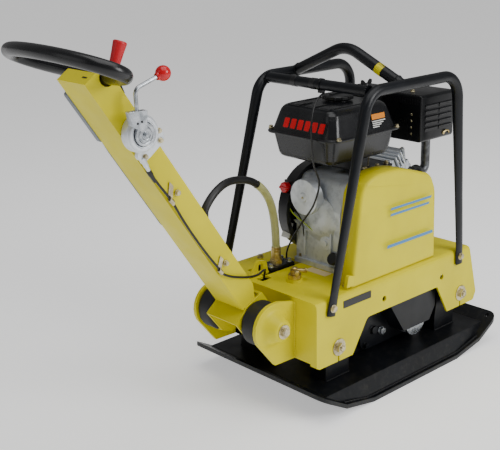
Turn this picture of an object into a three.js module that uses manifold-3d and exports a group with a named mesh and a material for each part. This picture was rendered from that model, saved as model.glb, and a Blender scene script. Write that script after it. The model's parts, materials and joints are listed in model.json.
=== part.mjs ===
// Reversible plate compactor, in millimetres.
// The origin is the centre of the flat sole, on the ground. +X points forward, away from the
// operator's handle, +Y is the machine's left and +Z is up.
import * as THREE from 'three';
import { mergeVertices } from 'three/addons/utils/BufferGeometryUtils.js';
import Module from 'manifold-3d';

const wasm = await Module();
wasm.setup();

// ---------------------------------------------------------------- driving dimensions
const GAP = 0.3;                 // left between pieces that touch
const RUN = 0.6;                 // running clearance of shafts and pulleys

const PLATE = {                  // the sole plate with both ends turned up
  halfWidth: 250, halfLength: 380, flatX: 181, bendX: 290, bendZ: 20, tipZ: 70, thick: 12, corner: 30,
};
const PAN = { halfTop: 222, halfFoot: 239, top: 60, skin: 8, ridgeX: 338 };
const LUG = { x0: 200, x1: 262, y0: 108, y1: 163, z: 196, wall: 8 };
const MOUNT = { x: 262, z: 165, radius: 29, washer: 23, stud: 8 };
const DECK = {                   // the yellow upper frame, a folded sheet
  half: 195, top: 303.5, skin: 6, bend: 16, rear: -344, footZ: 125, windowZ: 214,
  frontTop: 297, frontFoot: 340,
};
const EXCITER = { x: 30, z: 120, pitch: 130, bore: 46, half: 106, cover: 12, shaft: 14 };
const BELT = { y: -150, width: 17, thick: 9, clutch: 55, driven: 42 };
const CRANK = { x: -42, z: 430 };
const CAGE = { radius: 15, halfTop: 191, halfFoot: 200.6, top: 806, bend: 62 };
const BAIL = { x: -25, foot: 812, peak: 892, bend: 95 };
const PIVOT = { x: -418, z: 243, ear: 118, earSkin: 10, eye: 63, boss: 156 };
const TUBE = { x: -460.4, z: 283.6, angle: 55.95, half: 52, depth: 64, length: 745, wall: 4 };
const LOOP = { x: -888, z: 941, halfWidth: 187, halfDepth: 76, tilt: 25, radius: 15.5, gapHalf: 40 };

// ---------------------------------------------------------------- colours
const paint = (color, roughness = 0.45, metalness = 0.0) => ({ color, roughness, metalness });
const YELLOW = paint(0xe0d418, 0.38);
const BLACK = paint(0x23262b, 0.42, 0.1);
const MOULDED = paint(0x1d1f22, 0.5);
const RUBBER = paint(0x202226, 0.75);
const CAST = paint(0xb9bec6, 0.45, 0.8);
const ZINC = paint(0xb8b099, 0.35, 0.9);
const STEEL = paint(0x8f9499, 0.35, 0.9);
const RED = paint(0xcc2a36, 0.35);
const GREY = paint(0x8b9096, 0.5, 0.3);

// ---------------------------------------------------------------- solids
const group = new THREE.Group();

/** A closed geometry as a solid that can be cut and joined. */
function solid(geometry) {
  const plain = geometry.clone();
  plain.deleteAttribute('normal');
  plain.deleteAttribute('uv');
  const merged = mergeVertices(plain, 1e-4);
  return new wasm.Manifold(new wasm.Mesh({
    numProp: 3,
    vertProperties: new Float32Array(merged.attributes.position.array),
    triVerts: new Uint32Array(merged.index.array),
  }));
}

/** A solid as a three.js geometry. */
function geometryOf(manifold) {
  const mesh = manifold.getMesh();
  const geometry = new THREE.BufferGeometry();
  geometry.setAttribute('position', new THREE.BufferAttribute(new Float32Array(mesh.vertProperties), 3));
  geometry.setIndex(new THREE.BufferAttribute(new Uint32Array(mesh.triVerts), 1));
  return geometry;
}

const join = (first, ...others) => others.reduce((sum, other) => sum.add(other), first);
const cut = (first, ...others) => others.reduce((rest, other) => rest.subtract(other), first);

/** Adds a finished sub-part to the assembly. */
function part(name, shape, look) {
  const geometry = shape.isBufferGeometry ? shape : geometryOf(shape);
  const mesh = new THREE.Mesh(geometry, new THREE.MeshStandardMaterial(look));
  mesh.name = name;
  group.add(mesh);
}

function block([x0, y0, z0], [x1, y1, z1]) {
  const geometry = new THREE.BoxGeometry(x1 - x0, y1 - y0, z1 - z0);
  return solid(geometry.translate((x0 + x1) / 2, (y0 + y1) / 2, (z0 + z1) / 2));
}

/** A straight round bar between two points; end radii may differ. */
function rod(from, to, radius, endRadius = radius, sides = 20) {
  const a = new THREE.Vector3(...from);
  const b = new THREE.Vector3(...to);
  const geometry = new THREE.CylinderGeometry(endRadius, radius, a.distanceTo(b), sides);
  const turn = new THREE.Quaternion().setFromUnitVectors(
    new THREE.Vector3(0, 1, 0), b.clone().sub(a).normalize());
  geometry.applyQuaternion(turn);
  const middle = a.clone().add(b).multiplyScalar(0.5);
  return solid(geometry.translate(middle.x, middle.y, middle.z));
}

const disc = (x, z, y0, y1, radius, endRadius = radius, sides = 24) =>
  rod([x, y0, z], [x, y1, z], radius, endRadius, sides);

function shapeOf(points) {
  return new THREE.Shape(points.map(([u, v]) => new THREE.Vector2(u, v)));
}

/** An outline with its corners rounded: each point is [u, v] or [u, v, radius]. */
function rounded(points, arcSteps = 3) {
  const out = [];
  points.forEach((point, i) => {
    const [u, v, radius] = point;
    if (!radius) {
      out.push([u, v]);
      return;
    }
    const here = new THREE.Vector2(u, v);
    const before = new THREE.Vector2(...points[(i + points.length - 1) % points.length]).sub(here).normalize();
    const after = new THREE.Vector2(...points[(i + 1) % points.length]).sub(here).normalize();
    const half = Math.acos(THREE.MathUtils.clamp(before.dot(after), -1, 1)) / 2;
    const reach = radius / Math.tan(half);
    const start = here.clone().addScaledVector(before, reach);
    const end = here.clone().addScaledVector(after, reach);
    const curve = new THREE.QuadraticBezierCurve(start, here, end);
    curve.getPoints(arcSteps).forEach((p) => out.push([p.x, p.y]));
  });
  return out;
}

/** A prism whose outline is in X and Z and whose length runs from y0 to y1. */
function prismY(points, y0, y1) {
  const geometry = new THREE.ExtrudeGeometry(shapeOf(points), { depth: y1 - y0, bevelEnabled: false });
  geometry.rotateX(Math.PI / 2);
  return solid(geometry.translate(0, y1, 0));
}

/** A prism whose outline is in Y and Z and whose length runs from x0 to x1. */
function prismX(points, x0, x1) {
  const geometry = new THREE.ExtrudeGeometry(shapeOf(points), { depth: x1 - x0, bevelEnabled: false });
  geometry.rotateX(Math.PI / 2);
  geometry.rotateZ(Math.PI / 2);
  return solid(geometry.translate(x0, 0, 0));
}

/** A prism whose outline is in X and Y and whose length runs from z0 to z1. */
function prismZ(points, z0, z1) {
  const geometry = new THREE.ExtrudeGeometry(shapeOf(points), { depth: z1 - z0, bevelEnabled: false });
  return solid(geometry.translate(0, 0, z0));
}

/** A path for a swept section, with one step from each of its points to the next. */
class Stations extends THREE.Curve {
  constructor(points) {
    super();
    this.points = points;
  }

  getPointAt(u, target = new THREE.Vector3()) {
    return target.copy(this.points[Math.round(u * (this.points.length - 1))]);
  }

  getTangentAt(u, target = new THREE.Vector3()) {
    const last = this.points.length - 1;
    const i = Math.round(u * last);
    target.set(0, 0, 0);
    if (i > 0) target.add(this.points[i].clone().sub(this.points[i - 1]).normalize());
    if (i < last) target.add(this.points[i + 1].clone().sub(this.points[i]).normalize());
    return target.normalize();
  }
}

/** A round bar swept through the points. */
function sweep(points, radius, sides = 10) {
  const section = new THREE.Shape();
  for (let i = 0; i < sides; i += 1) {
    const angle = (2 * Math.PI * i) / sides;
    const [u, v] = [radius * Math.cos(angle), radius * Math.sin(angle)];
    if (i === 0) section.moveTo(u, v);
    else section.lineTo(u, v);
  }
  section.closePath();
  return solid(new THREE.ExtrudeGeometry(section, {
    steps: points.length - 1, extrudePath: new Stations(points), bevelEnabled: false,
  }));
}

/** A tube or cable along a smooth line through the points. */
function tubeAlong(points, radius, steps, sides = 10) {
  const curve = new THREE.CatmullRomCurve3(points.map((p) => new THREE.Vector3(...p)), false, 'centripetal');
  return sweep(curve.getSpacedPoints(steps), radius, sides);
}

/** A bent bar: straight runs between the corners, with an arc of the bend radius at each. */
function bentBar(points, bend, radius, sides = 10, arcSteps = 5) {
  const corners = points.map((p) => new THREE.Vector3(...p));
  const line = [corners[0]];
  for (let i = 1; i < corners.length - 1; i += 1) {
    const back = corners[i - 1].clone().sub(corners[i]).normalize();
    const ahead = corners[i + 1].clone().sub(corners[i]).normalize();
    const half = Math.acos(THREE.MathUtils.clamp(back.dot(ahead), -1, 1)) / 2;
    const centre = corners[i].clone().addScaledVector(back.clone().add(ahead).normalize(), bend / Math.sin(half));
    const start = corners[i].clone().addScaledVector(back, bend / Math.tan(half)).sub(centre);
    const axis = start.clone().cross(corners[i].clone().sub(centre)).normalize();
    for (let k = 0; k <= arcSteps; k += 1) {
      const turn = (Math.PI - 2 * half) * (k / arcSteps);
      line.push(start.clone().applyAxisAngle(axis, turn).add(centre));
    }
  }
  line.push(corners[corners.length - 1]);
  return sweep(line, radius, sides);
}

/** A hexagon bolt head with its washer, its face towards outward along Y (1 or -1). */
function boltY(x, z, seat, outward, { washer, head, height, shankTo, shank }) {
  const face = seat + outward * GAP;
  return join(
    disc(x, z, face, face + outward * 3, washer, washer, 20),
    disc(x, z, face + outward * 2, face + outward * (3 + height), head, head, 6),
    disc(x, z, shankTo, face + outward * 2, shank, shank, 12));
}

// ---------------------------------------------------------------- handle frame
// Places on the handle are given along the tube, up from its lower end, and deep, from its
// underside towards the machine.
const ALONG = new THREE.Vector2(-Math.cos(TUBE.angle * Math.PI / 180), Math.sin(TUBE.angle * Math.PI / 180));
const DEEP = new THREE.Vector2(ALONG.y, -ALONG.x);
const onHandle = (along, deep) => [
  TUBE.x + ALONG.x * along + DEEP.x * deep,
  TUBE.z + ALONG.y * along + DEEP.y * deep,
];
const at = (along, y, deep) => {
  const [x, z] = onHandle(along, deep);
  return [x, y, z];
};

// ---------------------------------------------------------------- lower mass
function solePoints(lift) {
  const { halfLength, flatX, bendX, bendZ, tipZ } = PLATE;
  return [
    [-halfLength, tipZ + lift], [-bendX, bendZ + lift], [-flatX, lift],
    [flatX, lift], [bendX, bendZ + lift], [halfLength, tipZ + lift],
  ];
}

function aboveSole(lift, ceiling) {
  const { halfLength } = PLATE;
  const outline = solePoints(lift).concat([[halfLength, ceiling], [-halfLength, ceiling]]);
  return prismY(outline, -PLATE.halfWidth - 5, PLATE.halfWidth + 5);
}

function basePlate() {
  const { halfLength, halfWidth, thick, corner } = PLATE;
  const plan = rounded([
    [-halfLength, -halfWidth, corner], [halfLength, -halfWidth, corner],
    [halfLength, halfWidth, corner], [-halfLength, halfWidth, corner],
  ], 5);
  const slab = cut(aboveSole(0, 200), aboveSole(thick, 210));
  let plate = slab.intersect(prismZ(plan, -10, 150));
  [-1, 1].forEach((side) => {
    plate = cut(plate, rod([364, side * 222, 40], [364, side * 222, 120], 7, 7, 16));
  });
  return plate;
}

function panOutline(inset) {
  const { halfTop, halfFoot, top } = PAN;
  return [
    [-halfFoot + inset, -20], [halfFoot - inset, -20], [halfFoot - inset, 14],
    [halfTop - inset, top - inset], [-halfTop + inset, top - inset], [-halfFoot + inset, 14],
  ];
}

function baseDeck() {
  const { ridgeX, skin } = PAN;
  const outer = prismX(panOutline(0), -ridgeX, ridgeX).intersect(aboveSole(PLATE.thick + GAP, 200));
  const hollow = prismX(panOutline(skin), -ridgeX + 20, ridgeX - 20);
  let pan = cut(outer, hollow.intersect(aboveSole(PLATE.thick - 1, 200)));
  [-1, 1].forEach((end) => [-1, 1].forEach((side) => {
    pan = join(pan, lug(end, side));
  }));
  return pan;
}

/** The box lug that carries one rubber mount; it is open towards the middle. */
function lug(end, side) {
  const { x0, x1, y0, y1, z, wall } = LUG;
  const [xa, xb] = end > 0 ? [x0, x1] : [-x1, -x0];
  const [ya, yb] = side > 0 ? [y0, y1] : [-y1, -y0];
  const wide = 14;
  const outer = prismY([
    [xa - wide, PAN.top - 2], [xb + wide, PAN.top - 2], [xb + wide, PAN.top + 40],
    [end > 0 ? xb + wide : xb, z], [end > 0 ? xa : xa - wide, z], [xa - wide, PAN.top + 40],
  ], ya, yb);
  const inside = block(
    [xa - wide + wall, side > 0 ? ya - 5 : ya + wall, PAN.top + wall],
    [xb + wide - wall, side > 0 ? yb - wall : yb + 5, z - wall - 12]);
  return cut(outer, inside);
}

function exciterHousing() {
  const { x, z, pitch, bore, half } = EXCITER;
  const reach = pitch / 2 + bore + 12;
  const outline = rounded([
    [x - reach - 6, PAN.top + GAP], [x + reach + 6, PAN.top + GAP], [x + reach, z + bore + 12, 34],
    [x - reach, z + bore + 12, 34],
  ]);
  const bores = [-1, 1].map((side) => disc(x + side * pitch / 2, z, -half - 1, half + 1, bore));
  return cut(prismY(outline, -half, half), ...bores);
}

function exciterCover(side) {
  const { x, z, pitch, bore, half, cover, shaft } = EXCITER;
  const reach = pitch / 2 + bore + 8;
  const [y0, y1] = side < 0 ? [-half - cover, -half - GAP] : [half + GAP, half + cover];
  const outline = rounded([
    [x - reach, PAN.top + 6, 30], [x + reach, PAN.top + 6, 30],
    [x + reach, z + bore + 6, 36], [x - reach, z + bore + 6, 36],
  ]);
  const plate = prismY(outline, y0, y1);
  const plug = disc(x - pitch / 2, z - 2, side * (half + cover - 1), side * (half + cover + 9), 13, 13, 6);
  const plugged = side < 0 ? join(plate, plug) : plate;
  return side < 0 ? cut(plugged, disc(x + pitch / 2, z, y0 - 1, y1 + 1, shaft + RUN)) : plugged;
}

/** A shaft with its half-round weight; the front one reaches out to carry its pulley. */
function eccentricShaft(side) {
  const { x, z, pitch, bore, half, cover, shaft } = EXCITER;
  const cx = x + side * pitch / 2;
  const end = side > 0 ? -half - cover - 4 : -half + 3;
  const bar = disc(cx, z, end, half - 3, shaft);
  const weight = cut(
    disc(cx, z, -half + 22, half - 22, bore - 3),
    block([cx - bore, -half, z + 4], [cx + bore, half, z + bore + 5]));
  return join(bar, weight);
}

function vPulley(x, z, radius, y0, y1) {
  const groove = new THREE.LatheGeometry([
    new THREE.Vector2(radius - 12, -BELT.width / 2), new THREE.Vector2(radius + 4, -BELT.width / 2 - 2),
    new THREE.Vector2(radius + 4, BELT.width / 2 + 2), new THREE.Vector2(radius - 12, BELT.width / 2),
    new THREE.Vector2(radius - 12, -BELT.width / 2),
  ], 24);
  return cut(disc(x, z, y0, y1, radius), solid(groove.translate(x, BELT.y, z)));
}

function drivenPulley() {
  const { x, z, pitch, half, cover } = EXCITER;
  return vPulley(x + pitch / 2, z, BELT.driven, BELT.y - 15, -half - cover - 4 - GAP);
}

function isolator(end, side) {
  const y = [side * (LUG.y1 + GAP), side * (DECK.half - DECK.skin - GAP)];
  return disc(end * MOUNT.x, MOUNT.z, y[0], y[1], MOUNT.radius, MOUNT.radius, 24);
}

// ---------------------------------------------------------------- upper frame
function deckSide() {
  const { rear, frontTop, frontFoot, top, footZ, windowZ } = DECK;
  return [
    [rear, top], [rear, footZ + 6], [-333, footZ], [-207, footZ], [-150, windowZ, 18],
    [150, windowZ, 6], [201, footZ], [frontFoot - 12, footZ, 8], [frontFoot, footZ + 24, 10], [frontTop, top, 14],
  ];
}

function deckFrame() {
  const { half, top, skin, bend, rear, frontTop, frontFoot, footZ } = DECK;
  const section = (inset) => rounded([
    [-half + inset, 60], [half - inset, 60], [half - inset, top - inset, bend - inset],
    [-half + inset, top - inset, bend - inset],
  ]);
  const outer = prismX(section(0), rear - 1, frontFoot + 1)
    .intersect(prismY(rounded(deckSide()), -half - 1, half + 1));
  const inner = prismX(section(skin), rear + skin, frontFoot + 40).intersect(prismY([
    [rear + skin, top], [rear + skin, 50], [frontFoot + 12, 50], [frontTop - skin - 3, top],
  ], -half, half));
  let frame = cut(outer, inner);
  frame = cut(frame,
    block([rear - 5, -half + 22, 100], [rear + 30, half - 22, footZ + 12]),
    block([250, -half + 40, 100], [frontFoot + 30, half - 40, 235]),
    block([-292, 48, top - 20], [-140, 112, top + 5]),
    prismZ(rounded([[-322, 22, 6], [-286, 22, 6], [-286, 46, 6], [-322, 46, 6]], 3), top - 20, top + 5),
    block([-62, BELT.y - 26, top - 20], [88, BELT.y + 26, top + 5]));
  [-1, 1].forEach((side) => {
    frame = join(frame, ear(side));
    [[-83, 246], [169, 239]].forEach(([x, z]) => {
      frame = cut(frame, disc(x, z, side * (half - skin - 3), side * (half + 3), 8, 8, 20));
    });
    [-1, 1].forEach((end) => {
      frame = cut(frame, disc(end * MOUNT.x, MOUNT.z, side * (half - skin - 3), side * (half + 3), MOUNT.stud + GAP, MOUNT.stud + GAP, 20));
      frame = cut(frame, block(
        [end * MOUNT.x - 2.5, side > 0 ? half - skin - 3 : -half - 3, footZ - 5],
        [end * MOUNT.x + 2.5, side > 0 ? half + 3 : -half + skin + 3, MOUNT.z]));
    });
  });
  return join(frame, towLug(), tapBoss());
}

/** The plate that holds one end of the handle's axle, with a hollow conical boss pressed outward. */
function ear(side) {
  const { x, z, ear: y, earSkin, eye, boss } = PIVOT;
  const foot = DECK.rear + 1;
  const low = [-414, 139];
  const outline = [[foot, 137], [foot, 292], [x + 20, z + eye]];
  for (let i = 1; i <= 9; i += 1) {
    const angle = (75 + i * 15) * Math.PI / 180;
    outline.push([x + eye * Math.cos(angle), z + eye * Math.sin(angle)]);
  }
  outline.push(low);
  const [y0, y1] = side > 0 ? [y - earSkin, y] : [-y, -y + earSkin];
  const plate = prismY(rounded(outline.reverse()), y0, y1);
  const cone = disc(x, z, side * (y - 2), side * (boss - 3), 37, 21);
  return cut(join(plate, cone),
    disc(x, z, side * (y - earSkin - 1), side * (boss - 9), 32, 17),
    disc(x, z, side * (y - earSkin - 1), side * (boss + 1), MOUNT.stud + 2 + GAP));
}

/** The lug with an oval eye beside the hose opening. */
function towLug() {
  const y = 60;
  const plate = prismY(rounded([[-335, 300], [-262, 300], [-270, 338, 12], [-300, 346, 12]], 4), y, y + 8);
  const eye = prismY(rounded([[-300, 312, 6], [-284, 312, 6], [-284, 334, 6], [-300, 334, 6]], 4), y - 2, y + 10);
  return cut(plate, eye);
}

/** The short socket on the deck that the drain tap screws into. */
const TAP = { x: -262, y: -38, z: DECK.top };
function tapBoss() {
  return rod([TAP.x, TAP.y, TAP.z - 4], [TAP.x, TAP.y, TAP.z + 8], 22, 20, 24);
}

function mountBolt(end, side) {
  return boltY(end * MOUNT.x, MOUNT.z, side * DECK.half, side, {
    washer: MOUNT.washer, head: 12, height: 14, shank: MOUNT.stud,
    shankTo: side * (DECK.half - DECK.skin + 0.2),
  });
}

function pivotBolt(side) {
  const { x, z, ear: y, boss } = PIVOT;
  return boltY(x, z, side * (boss - 3), side, {
    washer: 19, head: 12, height: 9, shank: MOUNT.stud + 2, shankTo: side * (y - 8),
  });
}

// ---------------------------------------------------------------- roll cage
function cageHoop(side) {
  const { radius, halfTop, halfFoot, top, bend } = CAGE;
  const topY = side * halfTop;
  const footY = side * halfFoot;
  const hoop = bentBar([
    [-285, footY, 322], [-158, topY, top], [206, topY, top], [238, footY, 322],
  ], bend, radius, 12, 6);
  const [y0, y1] = [side * (DECK.half + GAP), side * (DECK.half + 10)].sort((a, b) => a - b);
  const blade = (lowX, highX) => prismY([
    [lowX - 17, 261], [lowX + 17, 261], [highX + 16, 345], [highX - 16, 345],
  ], y0, y1);
  return join(hoop, blade(-301, -279), blade(241, 237));
}

function cageCrossbar() {
  const reach = CAGE.halfTop - CAGE.radius - GAP;
  return rod([-140, -reach, 804], [-140, reach, 804], 14, 14, 16);
}

function liftingBail() {
  const reach = CAGE.halfTop - CAGE.radius - GAP;
  const { x, foot, peak, bend } = BAIL;
  return bentBar([[x, -reach, foot], [x, 0, peak], [x, reach, foot]], bend, CAGE.radius, 12, 7);
}

// ---------------------------------------------------------------- engine
const ENGINE_FLOOR = DECK.top + GAP;

function crankcase() {
  const { x, z } = CRANK;
  const body = prismY(rounded([
    [x - 98, ENGINE_FLOOR + 12], [x + 100, ENGINE_FLOOR + 12], [x + 104, z, 30],
    [x + 40, z + 128, 30], [x - 72, z + 122, 30], [x - 98, z + 40, 24],
  ]), -86, 74);
  const foot = block([x - 108, -98, ENGINE_FLOOR], [x + 102, 72, ENGINE_FLOOR + 14]);
  // The barrel leans forward and up towards its head.
  const barrel = prismY([
    [x + 60, z - 10], [x + 189, z + 61], [x + 144, z + 139], [x + 10, z + 100],
  ], -66, 62);
  const fins = [0, 1, 2, 3, 4].map((i) => prismY([
    [x + 94 + i * 17, z - 4 + i * 10], [x + 99 + i * 17, z - 1 + i * 10],
    [x + 49 + i * 17, z + 113 - 8.5 + i * 10], [x + 44 + i * 17, z + 101 + i * 10],
  ], -78, 68));
  const chamber = disc(x, z, -90, 44, 66, 66, 28);
  const bore = rod([x + 40, -2, z + 24], [x + 186, -2, z + 108], 34, 34, 24);
  return cut(join(body, foot, barrel, ...fins), chamber, bore);
}

function crankcaseCover() {
  const { x, z } = CRANK;
  const plate = prismY(rounded([
    [x - 96, ENGINE_FLOOR + 20, 20], [x + 98, ENGINE_FLOOR + 20, 20], [x + 96, z + 20, 50],
    [x + 36, z + 122, 40], [x - 66, z + 118, 40], [x - 96, z + 30, 40],
  ]), -106, -86 - GAP);
  const hub = disc(x, z, -112, -104, 34);
  return cut(join(plate, hub), disc(x, z, -113, -80, 14 + RUN));
}

/** The finned head with its rocker cover, bolted square to the barrel. */
function cylinderHead() {
  const { x, z } = CRANK;
  const slant = new THREE.Vector2(0.866, 0.5);
  const place = (u, v) => [x + 190 + slant.x * u - slant.y * v, z + 61 + slant.y * u + slant.x * v];
  const box = (u0, u1, v0, v1, y) => prismY([
    place(u0, v0), place(u1, v0), place(u1, v1), place(u0, v1),
  ], -y - 2, y - 2);
  const fins = [0, 1, 2].map((i) => box(1 + i * 12, 6 + i * 12, -6, 96, 72));
  return join(box(1, 34, 0, 90, 62), ...fins, box(33, 56, 8, 82, 50));
}

function roundCover() {
  const face = CRANK.x - 98 - GAP;
  return join(
    rod([face, 22, 500], [face - 26, 22, 500], 51, 49, 28),
    rod([face - 24, 22, 500], [face - 29, 22, 500], 14, 12, 24));
}

const SWITCH = { x: -152, y: 93, z: 515 };

/** The cooling fan's housing with its starter dome, on the machine's left. */
function fanShroud() {
  const { x, z } = CRANK;
  const bowl = disc(x - 6, z + 14, 74 + GAP, 112, 130, 126, 32);
  const dome = disc(x - 6, z + 14, 110, 138, 100, 84, 28);
  const top = prismY(rounded([
    [x - 20, z + 60], [x + 120, z + 60], [x + 120, z + 158, 24], [x - 20, z + 158, 24],
  ]), 74 + GAP, 108);
  const inside = disc(x - 6, z + 14, 70, 104, 116);
  const port = disc(x - 6, z + 14, 100, 140, 44, 44, 24);
  const seat = block([SWITCH.x - 30, SWITCH.y - 15, SWITCH.z - 15], [SWITCH.x, SWITCH.y + 15, SWITCH.z + 18]);
  return cut(join(bowl, dome, top), inside, port, seat);
}

const TANK = { x0: -208, x1: 64, half: 121 };

/** One storey of the tank: a rounded rectangle at each end, drawn in from the tank's outline. */
function tankBlock(z0, z1, inset0, inset1, radius) {
  const { x0, x1, half } = TANK;
  const outline = (inset) => rounded([
    [x0 + inset, -half + inset, radius], [x1 - inset, -half + inset, radius],
    [x1 - inset, half - inset, radius], [x0 + inset, half - inset, radius],
  ], 4);
  const low = outline(inset0);
  const high = outline(inset1);
  const positions = [];
  const index = [];
  low.forEach(([x, y]) => positions.push(x, y, z0));
  high.forEach(([x, y]) => positions.push(x, y, z1));
  const n = low.length;
  for (let i = 0; i < n; i += 1) {
    const j = (i + 1) % n;
    index.push(i, j, n + j, i, n + j, n + i);
  }
  const base = positions.length / 3;
  positions.push(-70, 0, z0, -70, 0, z1);
  for (let i = 0; i < n; i += 1) {
    const j = (i + 1) % n;
    index.push(base, j, i, base + 1, n + i, n + j);
  }
  const geometry = new THREE.BufferGeometry();
  geometry.setAttribute('position', new THREE.Float32BufferAttribute(positions, 3));
  geometry.setIndex(index);
  return solid(geometry);
}

const CAP = { x: -48, y: 8, z: 752, radius: 40 };
function fuelTank() {
  const skin = 5;
  const outer = join(
    tankBlock(606, 616, 30, 18, 34), tankBlock(615.9, 674, 18, 8, 34), tankBlock(673, 679, -4, -4, 34),
    tankBlock(678, 738, 6, 24, 34), tankBlock(737.9, 748, 24, 40, 34));
  const inner = join(
    tankBlock(612, 674.5, 18 + skin, 8 + skin, 28), tankBlock(673, 679, 8 + skin, 8 + skin, 28),
    tankBlock(678, 737, 8 + skin, 24 + skin, 28));
  const neck = rod([CAP.x, CAP.y, 744], [CAP.x, CAP.y, CAP.z], 30, 30, 28);
  const mouth = rod([CAP.x, CAP.y, 730], [CAP.x, CAP.y, 760], 25, 25, 28);
  return cut(join(outer, neck), inner, mouth);
}

function fuelCap() {
  const top = join(
    rod([CAP.x, CAP.y, CAP.z + GAP], [CAP.x, CAP.y, CAP.z + 12], CAP.radius, CAP.radius - 2, 24),
    rod([CAP.x, CAP.y, CAP.z - 6], [CAP.x, CAP.y, CAP.z + 2], 24, 24, 24));
  return join(top, block([CAP.x - 30, CAP.y - 6, CAP.z + 10], [CAP.x + 30, CAP.y + 6, CAP.z + 18]));
}

const MUFFLER = { x0: 142, x1: 290, y0: -125, y1: 6, z0: 618, z1: 748 };
function muffler() {
  const { x0, x1, y0, y1, z0, z1 } = MUFFLER;
  const outline = rounded([[y0, z0, 8], [y1, z0, 8], [y1, z1, 14], [y0, z1, 14]], 3);
  let box = prismX(outline, x0, x1);
  for (let i = 0; i < 6; i += 1) {
    const z = z0 + 34 + i * 15;
    box = cut(box, block([x0 + 34, y0 - 1, z], [x1 - 18, y0 + 5, z + 6]));
  }
  const skin = 6;
  const middle = (x0 + x1) / 2;
  const chambers = [[x0 + skin, middle - skin / 2], [middle + skin / 2, x1 - skin]].map(([xa, xb]) => block(
    [xa, y0 + skin, z0 + skin], [xb, y1 - skin, z1 - skin - 4]));
  return cut(box, ...chambers,
    rod([middle - 20, y0 + 66, z0 + 50], [middle + 20, y0 + 66, z0 + 50], 12, 12, 16),
    rod([250, -62, z0 - 1], [250, -62, z0 + skin + 1], 10, 10, 16),
    rod([x0 + 82, y0 + 66, z1 - 12], [x0 + 82, y0 + 66, z1 + 5], 12, 12, 20));
}

function exhaustPipe() {
  return bentBar([[206, -62, 512], [250, -62, 512], [250, -62, MUFFLER.z0 - GAP]], 20, 13, 12, 5);
}

const CLEANER = { x0: 70, x1: 196, y0: 10, y1: 122, z0: 640, z1: 756 };
function airCleaner() {
  const { x0, x1, y0, y1, z0, z1 } = CLEANER;
  const outline = rounded([[y0, z0, 10], [y1, z0, 10], [y1, z1 - 8, 30], [y0, z1, 22]], 4);
  return prismX(outline, x0, x1);
}

function cleanerKnob() {
  const [x, y, z] = [(CLEANER.x0 + CLEANER.x1) / 2 - 18, 48, CLEANER.z1 + GAP];
  return join(
    rod([x, y, z], [x, y, z + 10], 9, 8, 20),
    prismY(rounded([[x - 20, z + 6], [x + 20, z + 6], [x + 17, z + 24, 6], [x - 17, z + 24, 6]]), y - 3, y + 3));
}

function carburettor() {
  return join(
    block([76, 26, 600], [128, 68, 630]),
    rod([92, 47, 592], [92, 47, 602], 14, 14, 20),
    rod([106, 47, 628], [106, 47, 639.5], 20, 20, 20));
}

function clutchPulley() {
  const { x, z } = CRANK;
  const drum = vPulley(x, z, BELT.clutch, BELT.y - 16, BELT.y + 16);
  return join(drum, disc(x, z, -135, -92, 14, 14, 20), disc(x, z, BELT.y - 22, BELT.y - 15, 20, 20, 24));
}

/** A loop round both pulleys, standing off their groove floors by the running clearance. */
function driveBelt() {
  const a = new THREE.Vector2(CRANK.x, CRANK.z);
  const b = new THREE.Vector2(EXCITER.x + EXCITER.pitch / 2, EXCITER.z);
  const loop = (ra, rb) => {
    const line = b.clone().sub(a);
    const heading = Math.atan2(line.y, line.x);
    const lean = Math.acos((ra - rb) / line.length());
    const points = [];
    for (let i = 0; i <= 12; i += 1) {
      const t = heading + lean + (i / 12) * (2 * Math.PI - 2 * lean);
      points.push([a.x + ra * Math.cos(t), a.y + ra * Math.sin(t)]);
    }
    for (let i = 0; i <= 12; i += 1) {
      const t = heading - lean + (i / 12) * 2 * lean;
      points.push([b.x + rb * Math.cos(t), b.y + rb * Math.sin(t)]);
    }
    return points;
  };
  const inner = [BELT.clutch - 12 + RUN, BELT.driven - 12 + RUN];
  const half = BELT.width / 2 - RUN;
  return cut(
    prismY(loop(inner[0] + BELT.thick, inner[1] + BELT.thick), BELT.y - half, BELT.y + half),
    prismY(loop(...inner), BELT.y - half - 1, BELT.y + half + 1));
}

const COVER = { outer: -195, inner: -124, skin: 3 };
function coverOutline(inset) {
  return rounded([
    [-200 + inset, ENGINE_FLOOR - (inset ? 5 : 0)], [146 - inset, ENGINE_FLOOR - (inset ? 5 : 0)],
    [141 - inset, 420], [136 - inset, 508, 16], [118 - inset, 548 - inset, 20],
    [-22, 590 - inset, 40], [-124 + inset, 588 - inset, 34], [-168 + inset, 556 - inset, 24],
  ]);
}

function beltCover() {
  const { outer, inner, skin } = COVER;
  const shell = cut(
    prismY(coverOutline(0), outer, inner),
    prismY(coverOutline(skin), outer + 10 + skin, inner + 1));
  const border = cut(
    prismY(coverOutline(0), outer - 1, outer + 10),
    prismY(rounded([
      [-112, ENGINE_FLOOR + 32, 8], [128, ENGINE_FLOOR + 32, 8], [122, 500, 20], [96, 528, 20],
      [-18, 552, 30], [-56, 520, 20],
    ]), outer - 2, outer + 11));
  return cut(shell, border);
}

function pulleyGuard() {
  const y0 = -177;
  const y1 = -124;
  const outline = rounded([[28, 112], [142, 112], [166, 150, 10], [170, 232], [-52, 232]]);
  const inside = [[36, 100], [138, 100], [160, 152], [164, 240], [-42, 240]];
  return cut(prismY(outline, y0, y1), prismY(inside, y0 + 4, y1 + 1));
}

function engineSwitch() {
  return join(
    rod([SWITCH.x - GAP, SWITCH.y, SWITCH.z], [SWITCH.x - 10, SWITCH.y, SWITCH.z], 11, 11, 20),
    rod([SWITCH.x - 8, SWITCH.y, SWITCH.z], [SWITCH.x - 19, SWITCH.y, SWITCH.z], 14, 12, 24));
}

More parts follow.
